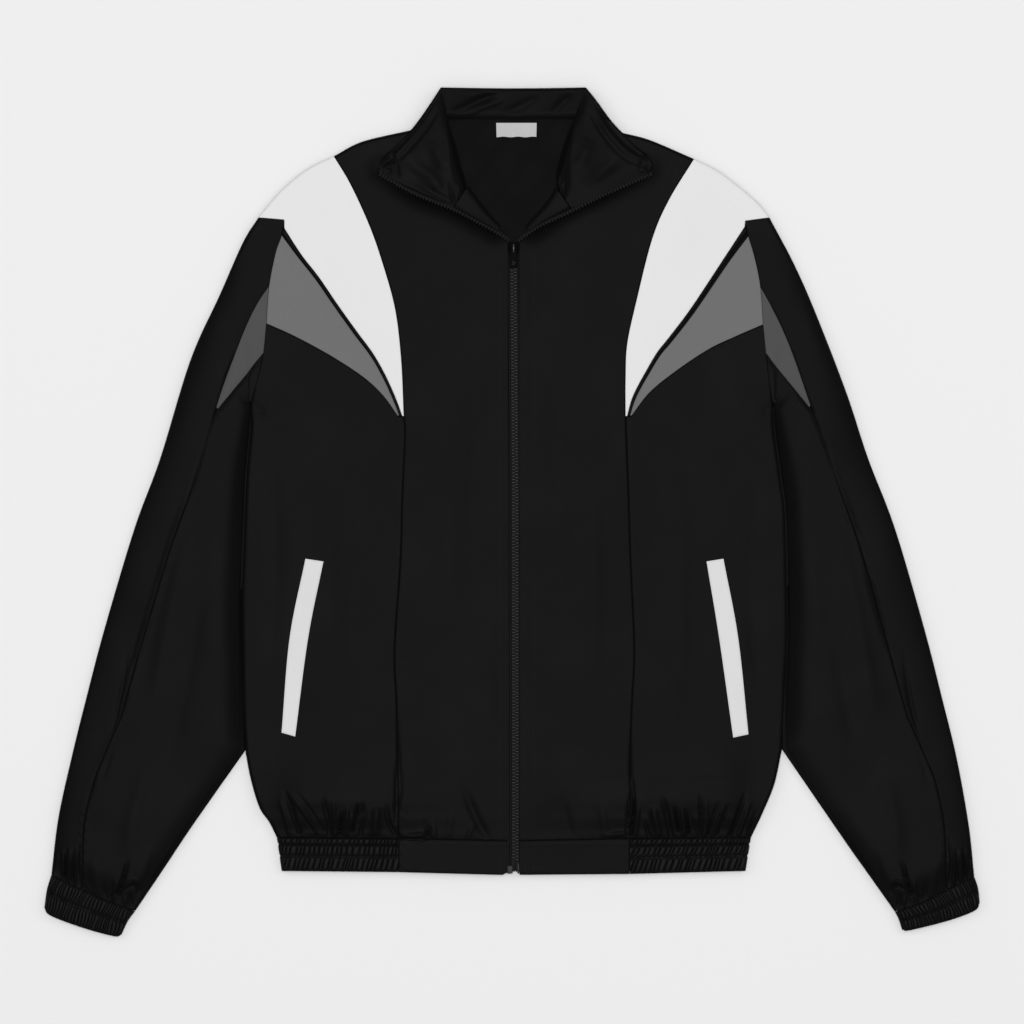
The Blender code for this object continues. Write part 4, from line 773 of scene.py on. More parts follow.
def front_panel(name, side, plan, u, v, finish, seams="tblr", top_fold=False, side_fold=None,
                deep=SEAM_DEEP, wall=WALL, side_low=FRONT_FOLD):
    grid_u, grid_v = np.meshgrid(u, v)
    flat = plan(grid_u, grid_v)
    x = ZIP_X + SIGN[side] * flat[..., 0]
    y = flat[..., 1]
    gap = to_seams(flat, seams)
    outer = np.stack([x, y, front_top(x, y) + seam_dip(gap, x + y, deep)], -1)
    inner = outer - [0, 0, wall]
    pair = [outer, inner]
    if top_fold:
        pair = turned(rolled(turned(pair), np.ones(len(u)), FRONT_FOLD, wall))
        if side_fold is not None:
            side_fold = np.concatenate([[side_fold[0]] * 5, side_fold])
    if side_fold is not None:
        pair = rolled(pair, side_fold, side_low, wall)
    shift = inset(pair[0]) - pair[0]
    thing = shell(name + "_cloth", pair[0] + shift, pair[1] + shift, finish, (name,))
    declare(thing, pair[0])
    return thing


for side in LINES:
    lines = EDGES[side]
    centre = patch(lines["shoulder_in"], edge(HEM_SEAM[side]),
                   chained((lines["insert_in"], TIP_AT), (lines["princess"], 1.0)),
                   chained((lines["neck"], NECK_AT), (edge(FRONT_EDGE), 1.0)))
    front_panel("front_centre_" + side, side, centre, shares(100, 2.0), shares(
        650, 3.4, "fold", "seam", 1.4, 70), BLACK_CLOTH, "bl", top_fold=True)

    knee = lines["piping_top"](0.0)
    insert_left = chained((lines["sleeve_step"], 0.09),
                          (line_between(lines["sleeve_step"](1.0), knee), 0.14),
                          (lines["piping_top"], 1.0))
    insert = patch(lines["shoulder_out"], line_between(lines["piping_top"](1.0),
                                                       lines["insert_in"](1.0)),
                   insert_left, lines["insert_in"])
    front_panel("shoulder_insert_" + side, side, insert, shares(70, 2.2), shares(
        250, 2.6, "fold"), WHITE_CLOTH, "lr", top_fold=True)

    start = 0.15
    chest = patch(lines["piping_low"], lines["chest_low"],
                  lambda v, lines=lines: lines["armhole_top"](start + (1 - start) * v),
                  line_between(lines["piping_low"](1), lines["chest_low"](1)))
    front_panel("chest_insert_" + side, side, chest, shares(190, 2.5), shares(60, 1.8),
                GREY_CLOTH, "tbl")

    tip = line_between(lines["chest_low"](1.0), lines["princess"](0.0))
    outer_side = chained((lines["armhole_low"], UNDERARM_AT), (lines["side_top"], HIP_AT),
                         (lines["side_low"], 1.0))
    hem = line_between(lines["side_low"](1.0), lines["princess"](1.0))
    side_plan = patch(chained((lines["chest_low"], 0.97), (tip, 1.0)), hem, outer_side,
                      lines["princess"])
    down = shares(470, 3.6, "seam", "seam", 1.4, 80)
    front_panel("front_side_" + side, side, side_plan, shares(140, 1.35, "fold"), down,
                BLACK_CLOTH, "tbr",
                side_fold=ramp(down, UNDERARM_AT - 0.04, UNDERARM_AT + 0.04),
                side_low=FRONT_FOLD + 0.9 * beside_sleeve(down, UNDERARM_AT))
print("front panels:", [name for name in CUTS])

# %% [markdown]
# The piping is a narrow fold of black cloth, caught in the seam between the white and the
# grey insert: a strip with a round rise across it.

# %% Piping
for side in LINES:
    lines = EDGES[side]
    plan = patch(lines["piping_top"], lines["piping_low"],
                 line_between(lines["piping_top"](0), lines["piping_low"](0)),
                 line_between(lines["piping_top"](1), lines["piping_low"](1)))
    u, v = np.meshgrid(np.linspace(0, 1, 110), np.linspace(0, 1, 11))
    flat = plan(u, v)
    x, y = ZIP_X + SIGN[side] * flat[..., 0], flat[..., 1]
    rise = 1.7 * np.sqrt(np.clip(1 - (2 * v - 1) ** 2, 0, 1)) - 0.75
    outer = np.stack([x, y, front_top(x, y) + rise], -1)
    inner = outer.copy()
    inner[..., 2] = front_top(x, y) - 1.3
    shift = inset(outer) - outer
    thing = shell("piping_" + side + "_cloth", outer + shift, inner + shift, PIPING_CLOTH,
                  ("piping_" + side,))
    declare(thing, outer)

# %% [markdown]
# The back lies on the table. Only its inside shows, in the neck's opening, but its sides
# and shoulders come up round the folds, and its underside is seen from below.


# %% The back
def back_outline(side):
    run = chained(*((EDGES[side][name], end) for name, end in BACK_SIDE.items()))
    return lambda v: run(v) * [SIGN[side], 1] + [ZIP_X, 0]


def back_top(u):
    points = np.zeros(np.shape(u) + (2,))
    u = np.asarray(u, float)
    for side, share in (("left", u * 2), ("right", (1 - u) * 2)):
        run = chained(*((EDGES[side][name], end) for name, end in BACK_SHOULDER.items()),
                      (edge(BACK_NECK), 1.0))
        here = u < 0.5 if side == "left" else u >= 0.5
        points[here] = run(share[here]) * [SIGN[side], 1] + [ZIP_X, 0]
    return points


low_edge = line_between(back_outline("left")(1.0), back_outline("right")(1.0))
back_plan = patch(back_top, low_edge, back_outline("left"), back_outline("right"))
half = np.concatenate([shares(190, 8, "fold", "plain")[:-1] * 0.38,
                       0.38 + 0.12 * np.linspace(0, 1, 22)])
u = np.concatenate([half, 1 - half[-2::-1]])
v = np.concatenate([shares(240, 3.2, "fold", "plain")[:-1] * 0.3,
                    0.3 + 0.7 * shares(430, 8, "plain", "seam")])
grid_u, grid_v = np.meshgrid(u, v)
flat = back_plan(grid_u, grid_v)
outer = np.concatenate([flat, np.zeros(flat.shape[:2] + (1,))], -1)
inner = outer + [0, 0, WALL]
soft = ramp(np.abs(flat[..., 0] - ZIP_X), 66, 40) * ramp(flat[..., 1], 215, 245)
inner[..., 2] += soft * (0.5 + 0.35 * np.sin(flat[..., 0] / 9 + flat[..., 1] / 13)
                         + 0.2 * np.sin(flat[..., 0] / 5 - flat[..., 1] / 7))
shoulder = (np.minimum(u, 1 - u) < BACK_SHOULDER["shoulder_in"] / 2 - 0.005).astype(float)
pair = turned(rolled(turned([outer, inner]), shoulder, BACK_FOLD))
side_fold = np.concatenate([[0.0] * 5, ramp(v, 0.32, 0.36)])
pair = rolled(pair, side_fold, BACK_FOLD)
pair = flipped(rolled(flipped(pair), side_fold, BACK_FOLD))
# it reaches a little under the sleeve at the armhole, and is drawn in below the armpit
drawn_in = (1.3 * ramp(v, 0.338, 0.352) * (1 - ramp(v, HIP_AT - 0.08, HIP_AT - 0.01))
            - 0.9 * ramp(v, 0.05, 0.08) * (1 - ramp(v, 0.332, 0.34)))
drawn_in = np.concatenate([[0.0] * 5, drawn_in])[:, None]
for face in pair:
    face[..., 0] -= drawn_in * np.tanh((face[..., 0] - ZIP_X) / 8)
shift = inset(pair[0]) - pair[0]
back = shell("back_cloth", pair[0] + shift, pair[1] + shift, INNER_CLOTH, ("back",))
declare(back, pair[0])
print("back:", CUTS["back_cloth"])

# %% [markdown]
# ## The sleeves
# A sleeve on the table is a tube pressed flat. Every cross-section is the same story: up
# over the top, round the inner fold, back along the table and round the outer fold. The
# strips are cut from that tube at the sleeve's seams, which are given as shares of the
# way in from the outer fold.

# %% Sleeves
# (share of the way down, height of the outer fold, of the crest, of the inner fold)
SLEEVE_HEIGHTS = [
    (0.00, 6.2, 6.2, 6.2), (0.05, 5.6, 6.6, 3.4), (0.10, 5.0, 7.6, 1.8), (0.20, 4.8, 8.4, 1.6),
    (0.50, 4.8, 8.0, 1.6), (0.68, 4.8, 7.6, 1.8), (0.78, 5.0, 7.2, 4.0), (0.90, 5.4, 8.6, 5.0),
    (0.96, 6.0, 9.4, 5.6), (1.00, 5.8, 6.2, 5.6),
]
# (share down, then shares across: the front seam, the insert's lower seam, the back seam)
SLEEVE_SEAMS = {
    "left": [(0.00, FRONT_SEAM_AT, 0.77, BACK_SEAM_AT), (0.24, 0.445, 0.445, 0.50),
             (0.43, 0.35, 0.35, 0.42), (0.62, 0.27, 0.27, 0.34), (0.80, 0.205, 0.205, 0.27),
             (0.85, 0.19, 0.19, 0.24), (0.92, 0.22, 0.22, 0.26), (1.00, 0.36, 0.36, 0.36)],
    "right": [(0.00, FRONT_SEAM_AT, 0.77, BACK_SEAM_AT), (0.24, 0.42, 0.42, 0.50),
              (0.43, 0.335, 0.335, 0.42), (0.62, 0.27, 0.27, 0.34), (0.80, 0.20, 0.20, 0.27),
              (0.85, 0.175, 0.175, 0.23), (0.92, 0.205, 0.205, 0.25), (1.00, 0.34, 0.34, 0.34)],
}
TIP_DOWN = 0.24
FOLD_CLEAR = 1.5
FOLD_REACH = (12, 45)


def sleeve_plan(side):
    lines = EDGES[side]
    armhole = chained((lines["sleeve_step"], STEP_AT), (lines["armhole_top"], MID_AT),
                      (lines["armhole_low"], 1.0))

    def inner(v):
        v = np.asarray(v, float)
        under = 0.6 * ramp(v, 0.0, 0.05) * (1 - ramp(v, LEAVE_AT - 0.09, LEAVE_AT))
        beside = lines["side_top"](np.minimum(v / LEAVE_AT, 1) ** 1.5)
        beside[..., 0] -= under
        free = lines["sleeve_in"](np.maximum(v - LEAVE_AT, 0) / (1 - LEAVE_AT))
        return np.where((v <= LEAVE_AT)[..., None], beside, free)
    return patch(armhole, lines["cuff_seam"], lines["sleeve_out"], inner, ARMHOLE_REACH)


def tube_row(plan, v, heights, columns, depth, push=True):
    """One cross-section of a flattened tube: spots in plan, heights, and which are on top.

    columns is a list of (layer, values): shares across it, or angles round a fold.
    """
    outer_high, crest, inner_high = heights
    outer, inner = plan(0.0, v), plan(1.0, v)
    width = np.linalg.norm(inner - outer)
    outer_share, inner_share = outer_high / 2 / width, inner_high / 2 / width
    row_way = unit(plan(0.95, v) - inner)
    along = unit(plan(1.0, min(v + 0.01, 1.0)) - plan(1.0, max(v - 0.01, 0.0)))
    square = row_way if v in (0.0, 1.0) else np.array([-along[1], along[0]])
    spots, highs, tops = [], [], []
    for layer, values in columns:
        values = np.asarray(values, float)
        if layer.endswith("fold"):
            if layer == "outer fold":
                radius, start = outer_high / 2, outer
                toward = unit(plan(min(0.08, 3 * outer_share), v) - outer)
            else:
                radius, start, toward = inner_high / 2, inner, square
            turn = np.radians(values)
            spots.append(start + toward * (radius - (radius - depth) * np.cos(turn))[:, None])
            highs.append(radius + (radius - depth) * np.sin(turn))
            tops.append(np.clip(np.sin(turn), 0, 1) ** 2)
            continue
        share = outer_share + (1 - outer_share - inner_share) * values
        place = plan(share, np.full(share.shape, v))
        if push and 0.0 < v < 1.0:
            short = inner_high / 2 + FOLD_CLEAR - (place - inner) @ square
            beside = 1 - ramp(np.linalg.norm(place - inner, axis=1), *FOLD_REACH)
            place = place + square * (np.maximum(0.0, short) * beside)[:, None]
        spots.append(place)
        if layer == "under":
            highs.append(np.full(share.shape, depth))
            tops.append(np.zeros(share.shape))
        else:
            high = (crest - (crest - outer_high) * np.exp(-share * width / 12)
                    - (crest - inner_high) * np.exp(-((1 - share) * width / 13) ** 1.6))
            highs.append(high - depth)
            tops.append(np.ones(share.shape))
    return np.concatenate(spots), np.concatenate(highs), np.concatenate(tops)


def tube(side, plan, down, columns, heights_at, thick, push=True):
    """Outer and inner faces of a flattened tube, and a mark for each point on top."""
    faces = []
    for depth in (0.0, thick):
        rows, marks = [], []
        for v in down:
            flat, high, top = tube_row(plan, v, heights_at(v), columns(v), depth, push)
            rows.append(np.stack([ZIP_X + SIGN[side] * flat[:, 0], flat[:, 1], high], -1))
            marks.append(top)
        faces.append(np.array(rows))
    return faces, np.array(marks)


def sleeve_heights(v):
    return [float(table_at(SLEEVE_HEIGHTS, v, k)) for k in (1, 2, 3)]


def seam_share(side, v, column):
    line = curve_through([(row[0], row[column]) for row in SLEEVE_SEAMS[side]], 8)
    return float(np.interp(v, line[:, 0], line[:, 1]))


def insert_edge(side, plan, v):
    """Share where a row meets the insert's lower seam, which is straight on the sleeve."""
    if v >= TIP_DOWN:
        return seam_share(side, v, 2)
    start = plan(seam_share(side, 0.0, 2), 0.0)
    tip = plan(seam_share(side, TIP_DOWN, 2), TIP_DOWN)
    tries = np.linspace(0.3, 0.95, 400)
    spots = plan(tries, np.full(400, v)) - start
    run = tip - start
    side_of = spots[:, 0] * run[1] - spots[:, 1] * run[0]
    change = np.flatnonzero(np.diff(np.sign(side_of)))
    return float(tries[change[-1]]) if len(change) else seam_share(side, v, 2)


OVER = np.linspace(90, -90, 13)
SLEEVE_LONG = 670
SLEEVE_DOWN = shares(SLEEVE_LONG, 4.0, "seam", "seam", 1.5, 75)


def lifted(pair, rise):
    """Both faces of a wall, raised by a grid of heights."""
    return [face + np.stack([0 * rise, 0 * rise, rise], -1) for face in pair]


def run_along(face):
    """How far along its row each point of a grid lies, in mm."""
    return np.cumsum(np.linalg.norm(np.diff(face, axis=1, prepend=face[:, :1]), axis=2), 1)


def sleeve_strip(name, side, plan, down, columns, finish, seams):
    pair, top = tube(side, plan, down, columns, sleeve_heights, WALL)
    gap = to_seams(pair[0], seams)
    x, y = pair[0][..., 0], pair[0][..., 1]
    lift = crease_rise(x, y) * ramp(gap, 0, 6) * ramp(down[:, None] * SLEEVE_LONG, 0, 30)
    lift = (lift + seam_dip(gap, x + y, 0.4)) * top
    pair = lifted(pair, lift)
    drawn = inset(inset(pair[0], sides="lr"), 1.0, "tb")
    shift = drawn - pair[0]
    thing = shell(name + "_cloth", pair[0] + shift, pair[1] + shift, finish, (name,))
    declare(thing, pair[0])


for side in LINES:
    plan = sleeve_plan(side)

    def outer_columns(v):
        front, back_seam = seam_share(side, v, 1), seam_share(side, v, 3)
        return [("top", front * (1 - shares(110, 2.2, "seam", "plain"))),
                ("outer fold", OVER[1:-1]),
                ("under", back_seam * shares(130, 9.0, "plain", "seam"))]

    def under_columns(v):
        front, back_seam = insert_edge(side, plan, v), seam_share(side, v, 3)
        return [("top", front + (1 - front) * shares(120, 2.2, "seam", "plain")),
                ("inner fold", OVER[1:-1]),
                ("under", 1 - (1 - back_seam) * shares(100, 9.0, "plain", "seam"))]

    def insert_columns(v):
        low, high = seam_share(side, v, 1), insert_edge(side, plan, v)
        return [("top", low + (high - low) * shares(60, 2.2))]

    tip_rows = SLEEVE_DOWN[SLEEVE_DOWN < TIP_DOWN - 0.008]
    # the sleeve's insert takes the grey that is painted darker as shade
    for part, rows, columns, finish, seams in (
            ("outer", SLEEVE_DOWN, outer_columns, BLACK_CLOTH, "ltbr"),
            ("under", SLEEVE_DOWN, under_columns, BLACK_CLOTH, "ltbr"),
            ("insert", tip_rows, insert_columns, GREY_CLOTH_PAINTED_SHADE, "ltr")):
        sleeve_strip("sleeve_%s_%s" % (part, side), side, plan, rows, columns, finish, seams)
print("sleeve strips:", [CUTS[name] for name in CUTS if name.startswith("sleeve")])

# %% [markdown]
# ## Shirred cloth
# The cuffs and the sides of the hem are cloth sewn to stretched elastic. Let go, it
# stands up in narrow pleats that the rows of stitching pinch. Each pleat has its own
# width, height and lean; they are drawn from a seeded generator, so that every run makes
# the same ones.


# %% Pleats
def pleats(run, down, pitch, high, pinched, seed, lean=0.0, wander=0.0):
    """Rise of shirred cloth at distances along it and shares down it, both as grids."""
    chance = np.random.default_rng(seed)
    rows = len(pinched) - 1
    total = np.zeros(np.broadcast(run, down).shape)
    length = float(np.max(run))
    for k in range(rows):
        low, top = pinched[k], pinched[k + 1]
        widths = pitch * chance.uniform(0.6, 1.4, int(length / pitch) + 12)
        starts = np.cumsum(widths) - pitch * 2
        tall = chance.uniform(0.72, 1.15, len(widths))
        inside = (down >= low) & (down <= top)
        middle = (down - (low + top) / 2) / (top - low)
        at = run + middle * lean * pitch + 0.4 * np.sin(run / 11 + k) + wander * np.sin(
            run / 4.7 + 5.3 * middle + 2.1 * k)
        index = np.clip(np.searchsorted(starts, at) - 1, 0, len(widths) - 2)
        share = np.clip((at - starts[index]) / (starts[index + 1] - starts[index]), 0, 1)
        ridge = 1 - np.abs(2 * share - 1) ** 4.4
        pinch = np.clip(1 - np.abs(2 * middle) ** 3.5, 0, 1) ** 0.7
        total = np.where(inside, high * tall[index] * ridge * (0.22 + 0.78 * pinch), total)
    return total


PINCH_DEEP = 0.55


def pinch_dip(down, pinched, length):
    """The line of stitching sinks between two rows of pleats."""
    gap = np.min([np.abs(down - at) for at in pinched[1:-1]], 0) * length
    return -PINCH_DEEP * np.exp(-(gap / 0.8) ** 2)


print("a stitched row sinks", PINCH_DEEP, "mm")

# %% [markdown]
# A cuff is a short tube of this cloth, flattened like the sleeve it ends. It is made by
# the same tube(), and its upper layer carries two rows of pleats with a stitched line
# between. An array of ribs would be quicker, but every rib would be alike.

# %% Cuffs
CUFF_PITCH = 2.8
CUFF_ROWS = [0.0, 0.47, 1.0]
for number, side in enumerate(LINES):
    lines = EDGES[side]
    plan = patch(lines["cuff_seam"], lines["cuff_edge"], lines["cuff_out"], lines["cuff_in"])
    down = np.linspace(0, 1, 28)
    top_values = np.linspace(0, 1, 290)
    layers = [("top", top_values), ("inner fold", OVER[1:]),
              ("under", np.linspace(1, 0, 24)[1:-1]), ("outer fold", OVER[::-1])]
    pair, top = tube(side, plan, down, lambda v: layers, lambda v: (CUFF_TOP, CUFF_TOP, CUFF_TOP),
                     1.0, push=False)
    run = run_along(pair[0])
    grid_down = np.repeat(down[:, None], run.shape[1], 1)
    rise = pleats(run, grid_down, CUFF_PITCH, 1.3, CUFF_ROWS, 11 + number, 0.6, 0.45)
    rise = (rise - 0.6 + pinch_dip(grid_down, CUFF_ROWS, 30)) * top
    pair = lifted(pair, rise)
    shift = inset(pair[0], sides="t") - pair[0]
    name = "cuff_" + side
    thing = shell(name + "_cloth", pair[0] + shift, pair[1] + shift, ELASTIC_CLOTH, (name,), True)
    declare(thing, pair[0])
print("cuffs:", CUTS["cuff_left_cloth"])

# %% [markdown]
# The hem has two parts. Round the sides and the back it is one shirred band, which turns
# at the side folds; beside the zip it is a plain band. The shirred one is drawn row by
# row, so that the stitched rows pull its side edge in a little.

# %% The hem
HEM_PITCH = 4.3
HEM_ROWS = [0.0, 0.2, 0.54, 1.0]


def hem_strip(side, v, depth):
    """One row of the elastic hem on one side, from the princess seam round the fold."""
    near = np.array(HEM_SEAM[side][0]) * (1 - v) + np.array(HEM_EDGE[side][0]) * v
    far = EDGES[side]["side_low"](1.0) * (1 - v) + np.array(HEM_CORNER) * v
    notch = 0.8 * sum(math.exp(-((v - at) * 33 / 1.3) ** 2) for at in HEM_ROWS[1:-1])
    radius = HEM_TOP / 2
    far_top = far - [radius + notch, 0]
    s = np.linspace(0, 1, 250)[:, None]
    top = near + (far_top - near) * s
    turn = np.radians(OVER[1:])
    fold = far_top + np.stack([(radius - depth) * np.cos(turn), 0 * turn], -1)
    flat = np.concatenate([top, fold])
    high = np.concatenate([np.full(len(top), HEM_TOP - depth),
                           radius + (radius - depth) * np.sin(turn)])
    mark = np.concatenate([np.ones(len(top)), np.clip(np.sin(turn), 0, 1) ** 2])
    return np.stack([ZIP_X + SIGN[side] * flat[:, 0], flat[:, 1], high], -1), mark


down = np.linspace(0, 1, 35)
pair, marks = [], None
for depth in (0.0, 1.0):
    rows, tops = [], []
    for v in down:
        left, mark_left = hem_strip("left", v, depth)
        right, mark_right = hem_strip("right", v, depth)
        s = np.linspace(0, 1, 60)[1:-1, None]
        under = left[-1] + (right[-1] - left[-1]) * s
        rows.append(np.concatenate([left, under, right[::-1]]))
        tops.append(np.concatenate([mark_left, np.zeros(len(under)), mark_right[::-1]]))
    pair.append(np.array(rows))
    marks = np.array(tops)
run = run_along(pair[0])
grid_down = np.repeat(down[:, None], run.shape[1], 1)
lean = 0.9 * np.tanh((pair[0][..., 0] - ZIP_X) / 60) * np.where(grid_down > 0.54, 1.0, 0.4)
rise = pleats(run, grid_down, HEM_PITCH, 1.6, HEM_ROWS, 5, lean, 0.15)
rise = (rise - 0.8 + pinch_dip(grid_down, HEM_ROWS, 33)) * marks
pair = lifted(pair, rise)
shift = inset(pair[0]) - pair[0]
hem_elastic = shell("hem_elastic_cloth", pair[0] + shift, pair[1] + shift, ELASTIC_CLOTH,
                    ("hem_elastic",))
declare(hem_elastic, pair[0])

for side in LINES:
    seam, low = edge(HEM_SEAM[side]), edge(HEM_EDGE[side])
    plan = patch(seam, low, line_between(seam(0), low(0)), edge([
        tuple(seam(1.0)), (5.3, -331.6), (5.3, -331.6), tuple(low(1.0))]))
    front_panel("hem_flat_" + side, side, plan, shares(100, 2.2), shares(33, 1.4), BLACK_CLOTH,
                "tbl")
print("hem:", CUTS["hem_elastic_cloth"], CUTS["hem_flat_left_cloth"])

# %% [markdown]
# ## The collar
# The stand collar is opened out: its two leaves lie on the fronts with their inside up,
# and its back stands up behind the neck. It is lofted through stations, each with the
# place and height of its neck seam, its roll and its top edge.

# %% Collar
# (neck seam x, y, top edge x, y, heights of the seam, the roll and the top edge)
COLLAR = {
    "left": [
        (56.0, 280.3, 125.0, 311.8, 10.2, 10.6, 9.6), (48.5, 291, 121.5, 324.5, 10.4, 11.6, 9.8),
        (43.5, 299.5, 109, 336.5, 6.0, 12.0, 9.4), (48, 319.5, 98, 347.5, 2.2, 12.2, 9.0),
        (53.5, 340, 87, 361, 2.0, 11.6, 9.4), (58, 353, 75.5, 377.5, 2.0, 9.4, 10.2),
        (60.5, 361.6, 67, 390.5, 3.4, 6.2, 10.2), (30.5, 361.6, 32.5, 390, 3.8, 5.6, 8.6),
        (0, 361.6, 0, 389.8, 3.8, 5.6, 8.4),
    ],
    "right": [
        (53.0, 279.3, 129.0, 311.8, 10.2, 10.6, 9.6), (46.5, 289, 125.5, 325.5, 10.4, 11.6, 9.8),
        (40.5, 298, 111, 338, 6.0, 12.0, 9.4), (39.5, 316, 100, 349, 2.2, 12.2, 9.0),
        (45, 335.5, 89, 361, 2.0, 11.6, 9.4), (51, 352, 77, 377.5, 2.0, 9.4, 10.2),
        (56, 361.6, 66.5, 390.5, 3.4, 6.2, 10.2), (30, 361.6, 32, 390, 3.8, 5.6, 8.6),
    ],
}
COLLAR_CREASES = [
    ([(437, 104), (424, 124), (410, 141), (396, 156)], 1.5, 0.8, 0.2, 1.0),
    ([(433, 102), (419, 123), (404, 141), (391, 154)], 1.2, -1.1, 0.2, 1.0),
    ([(441, 108), (429, 127), (414, 145), (400, 160)], 1.2, -0.8, 0.2, 0.8),
    ([(380, 167), (387, 163), (393, 158)], 1.3, -1.3, 0.4, 0.8),
    ([(382, 172), (389, 168), (396, 165)], 1.3, 1.2, 0.4, 0.4),
    ([(386, 159), (390, 166), (388, 174)], 1.1, -1.2, 0.6, 0.6),
    ([(393, 160), (396, 168), (398, 178)], 1.4, -1.0, 0.6, 0.3),
    ([(404, 158), (418, 170), (434, 182), (440, 194)], 6.0, -1.2, 0.0, 0.4),
    ([(432, 140), (438, 158), (446, 172)], 6.0, 0.9, 0.0, 0.2),
    ([(450, 134), (456, 148), (460, 162), (463, 178), (468, 192)], 2.0, -2.0, 0.2, 0.8),
    ([(449, 186), (452, 196), (453, 206)], 1.3, -1.2, 0.4, 0.4),
    ([(458, 186), (460, 196), (458, 206)], 1.3, 1.0, 0.4, 0.4),
    ([(420, 186), (436, 196), (452, 204)], 3.0, 0.8, 0.2, 0.4),
    ([(592, 108), (604, 128), (622, 149), (646, 166)], 1.5, 0.8, 0.2, 1.0),
    ([(597, 106), (609, 127), (627, 147), (648, 161)], 1.2, -1.1, 0.2, 1.0),
    ([(588, 112), (600, 132), (618, 154), (640, 170)], 1.2, -0.8, 0.2, 0.8),
    ([(636, 160), (643, 164), (650, 172)], 1.3, -1.3, 0.4, 0.8),
    ([(632, 166), (640, 170), (647, 176)], 1.3, 1.2, 0.4, 0.4),
    ([(644, 160), (640, 168), (642, 176)], 1.1, -1.1, 0.6, 0.6),
    ([(622, 160), (606, 170), (592, 182)], 6.0, -1.0, 0.0, 0.4),
    ([(590, 140), (584, 156), (578, 170)], 6.0, 0.9, 0.0, 0.2),
    ([(554, 162), (557, 178), (561, 196)], 1.3, 1.5, 0.2, 0.6),
    ([(563, 168), (558, 182), (553, 200)], 1.3, 1.3, 0.2, 0.6),
    ([(566, 140), (561, 156), (557, 172)], 2.0, -1.8, 0.2, 0.8),
    ([(566, 178), (564, 190), (562, 200)], 1.6, -1.4, 0.3, 0.5),
    ([(454, 113), (474, 104), (496, 95)], 3.0, -1.0, 0.2, 0.1),
    ([(462, 117), (482, 109), (504, 101)], 3.0, 0.8, 0.2, 0.1),
    ([(500, 116), (520, 108), (540, 98)], 4.0, -0.8, 0.1, 0.1),
    ([(552, 116), (560, 106), (572, 96)], 3.4, -0.9, 0.2, 0.1),
    ([(470, 98), (486, 94), (500, 92)], 2.4, 0.6, 0.2, 0.1),
]
COLLAR_CORNER = 6

stations = [(-row[0] + ZIP_X, row[1], -row[2] + ZIP_X, row[3], *row[4:]) for row in COLLAR["left"]]
stations += [(row[0] + ZIP_X, row[1], row[2] + ZIP_X, row[3], *row[4:])
             for row in reversed(COLLAR["right"])]
corners = (COLLAR_CORNER, len(stations) - 1 - COLLAR_CORNER)
chain = []
for k, station in enumerate(stations):
    chain.append(station)
    if k in corners:
        chain.append(station)
collar_line = edge(chain)
along = shares(collar_line.length, 1.8, "seam", "seam")
row_points = collar_line(along)
neck, top_edge = row_points[:, 0:2], row_points[:, 2:4]
seam_high, roll_high, top_high = (row_points[:, k] for k in (4, 5, 6))
across = np.concatenate([[0, 0.008, 0.018, 0.03, 0.042, 0.055, 0.07, 0.085],
                         shares(70, 1.6, "plain", "seam")[4:]])
rise = (1 - (1 - np.minimum(across / 0.24, 1)) ** 2.2) + np.maximum(across - 0.24, 0) / 0.76
outer = np.zeros((len(across), len(along), 3))
for i, (share, up) in enumerate(zip(across, rise)):
    outer[i, :, :2] = neck + (top_edge - neck) * share
    outer[i, :, 2] = (seam_high + (roll_high - seam_high) * up if up <= 1
                      else roll_high + (top_high - roll_high) * (up - 1))
x, y = outer[..., 0], outer[..., 1]
gap = to_seams(outer, "b")
TOPSTITCH_IN = 2.9          # from the collar's free edge to its top stitching
outer[..., 2] -= 0.9 * (1 - ramp(gap, 0, 1.6))
outer[..., 2] -= 0.45 * np.exp(-((gap - TOPSTITCH_IN) / 0.7) ** 2)
creased = crease_rise(x, y, COLLAR_CREASES) + 0.2 * np.sin(x / 6.5 - y / 8)
outer[..., 2] += creased * ramp(gap, 0, 3.5)
outer[..., 2] = np.maximum(outer[..., 2], 1.2)
inner = outer - [0, 0, 1.1]
row_at = np.argmin(np.abs(gap - TOPSTITCH_IN), axis=0)
COLLAR_SEWN = [outer[row_at, np.arange(len(along))][4:-4] + [0, 0, 0.05]]
shift = inset(outer) - outer
collar = shell("collar_cloth", outer + shift, inner + shift, BLACK_CLOTH, ("collar",))
declare(collar, outer)
print("collar:", CUTS["collar_cloth"])

# %% [markdown]
# Below the leaves the fronts are turned out along the open zip, so their inside shows as a
# narrow strip from its roll to the teeth.

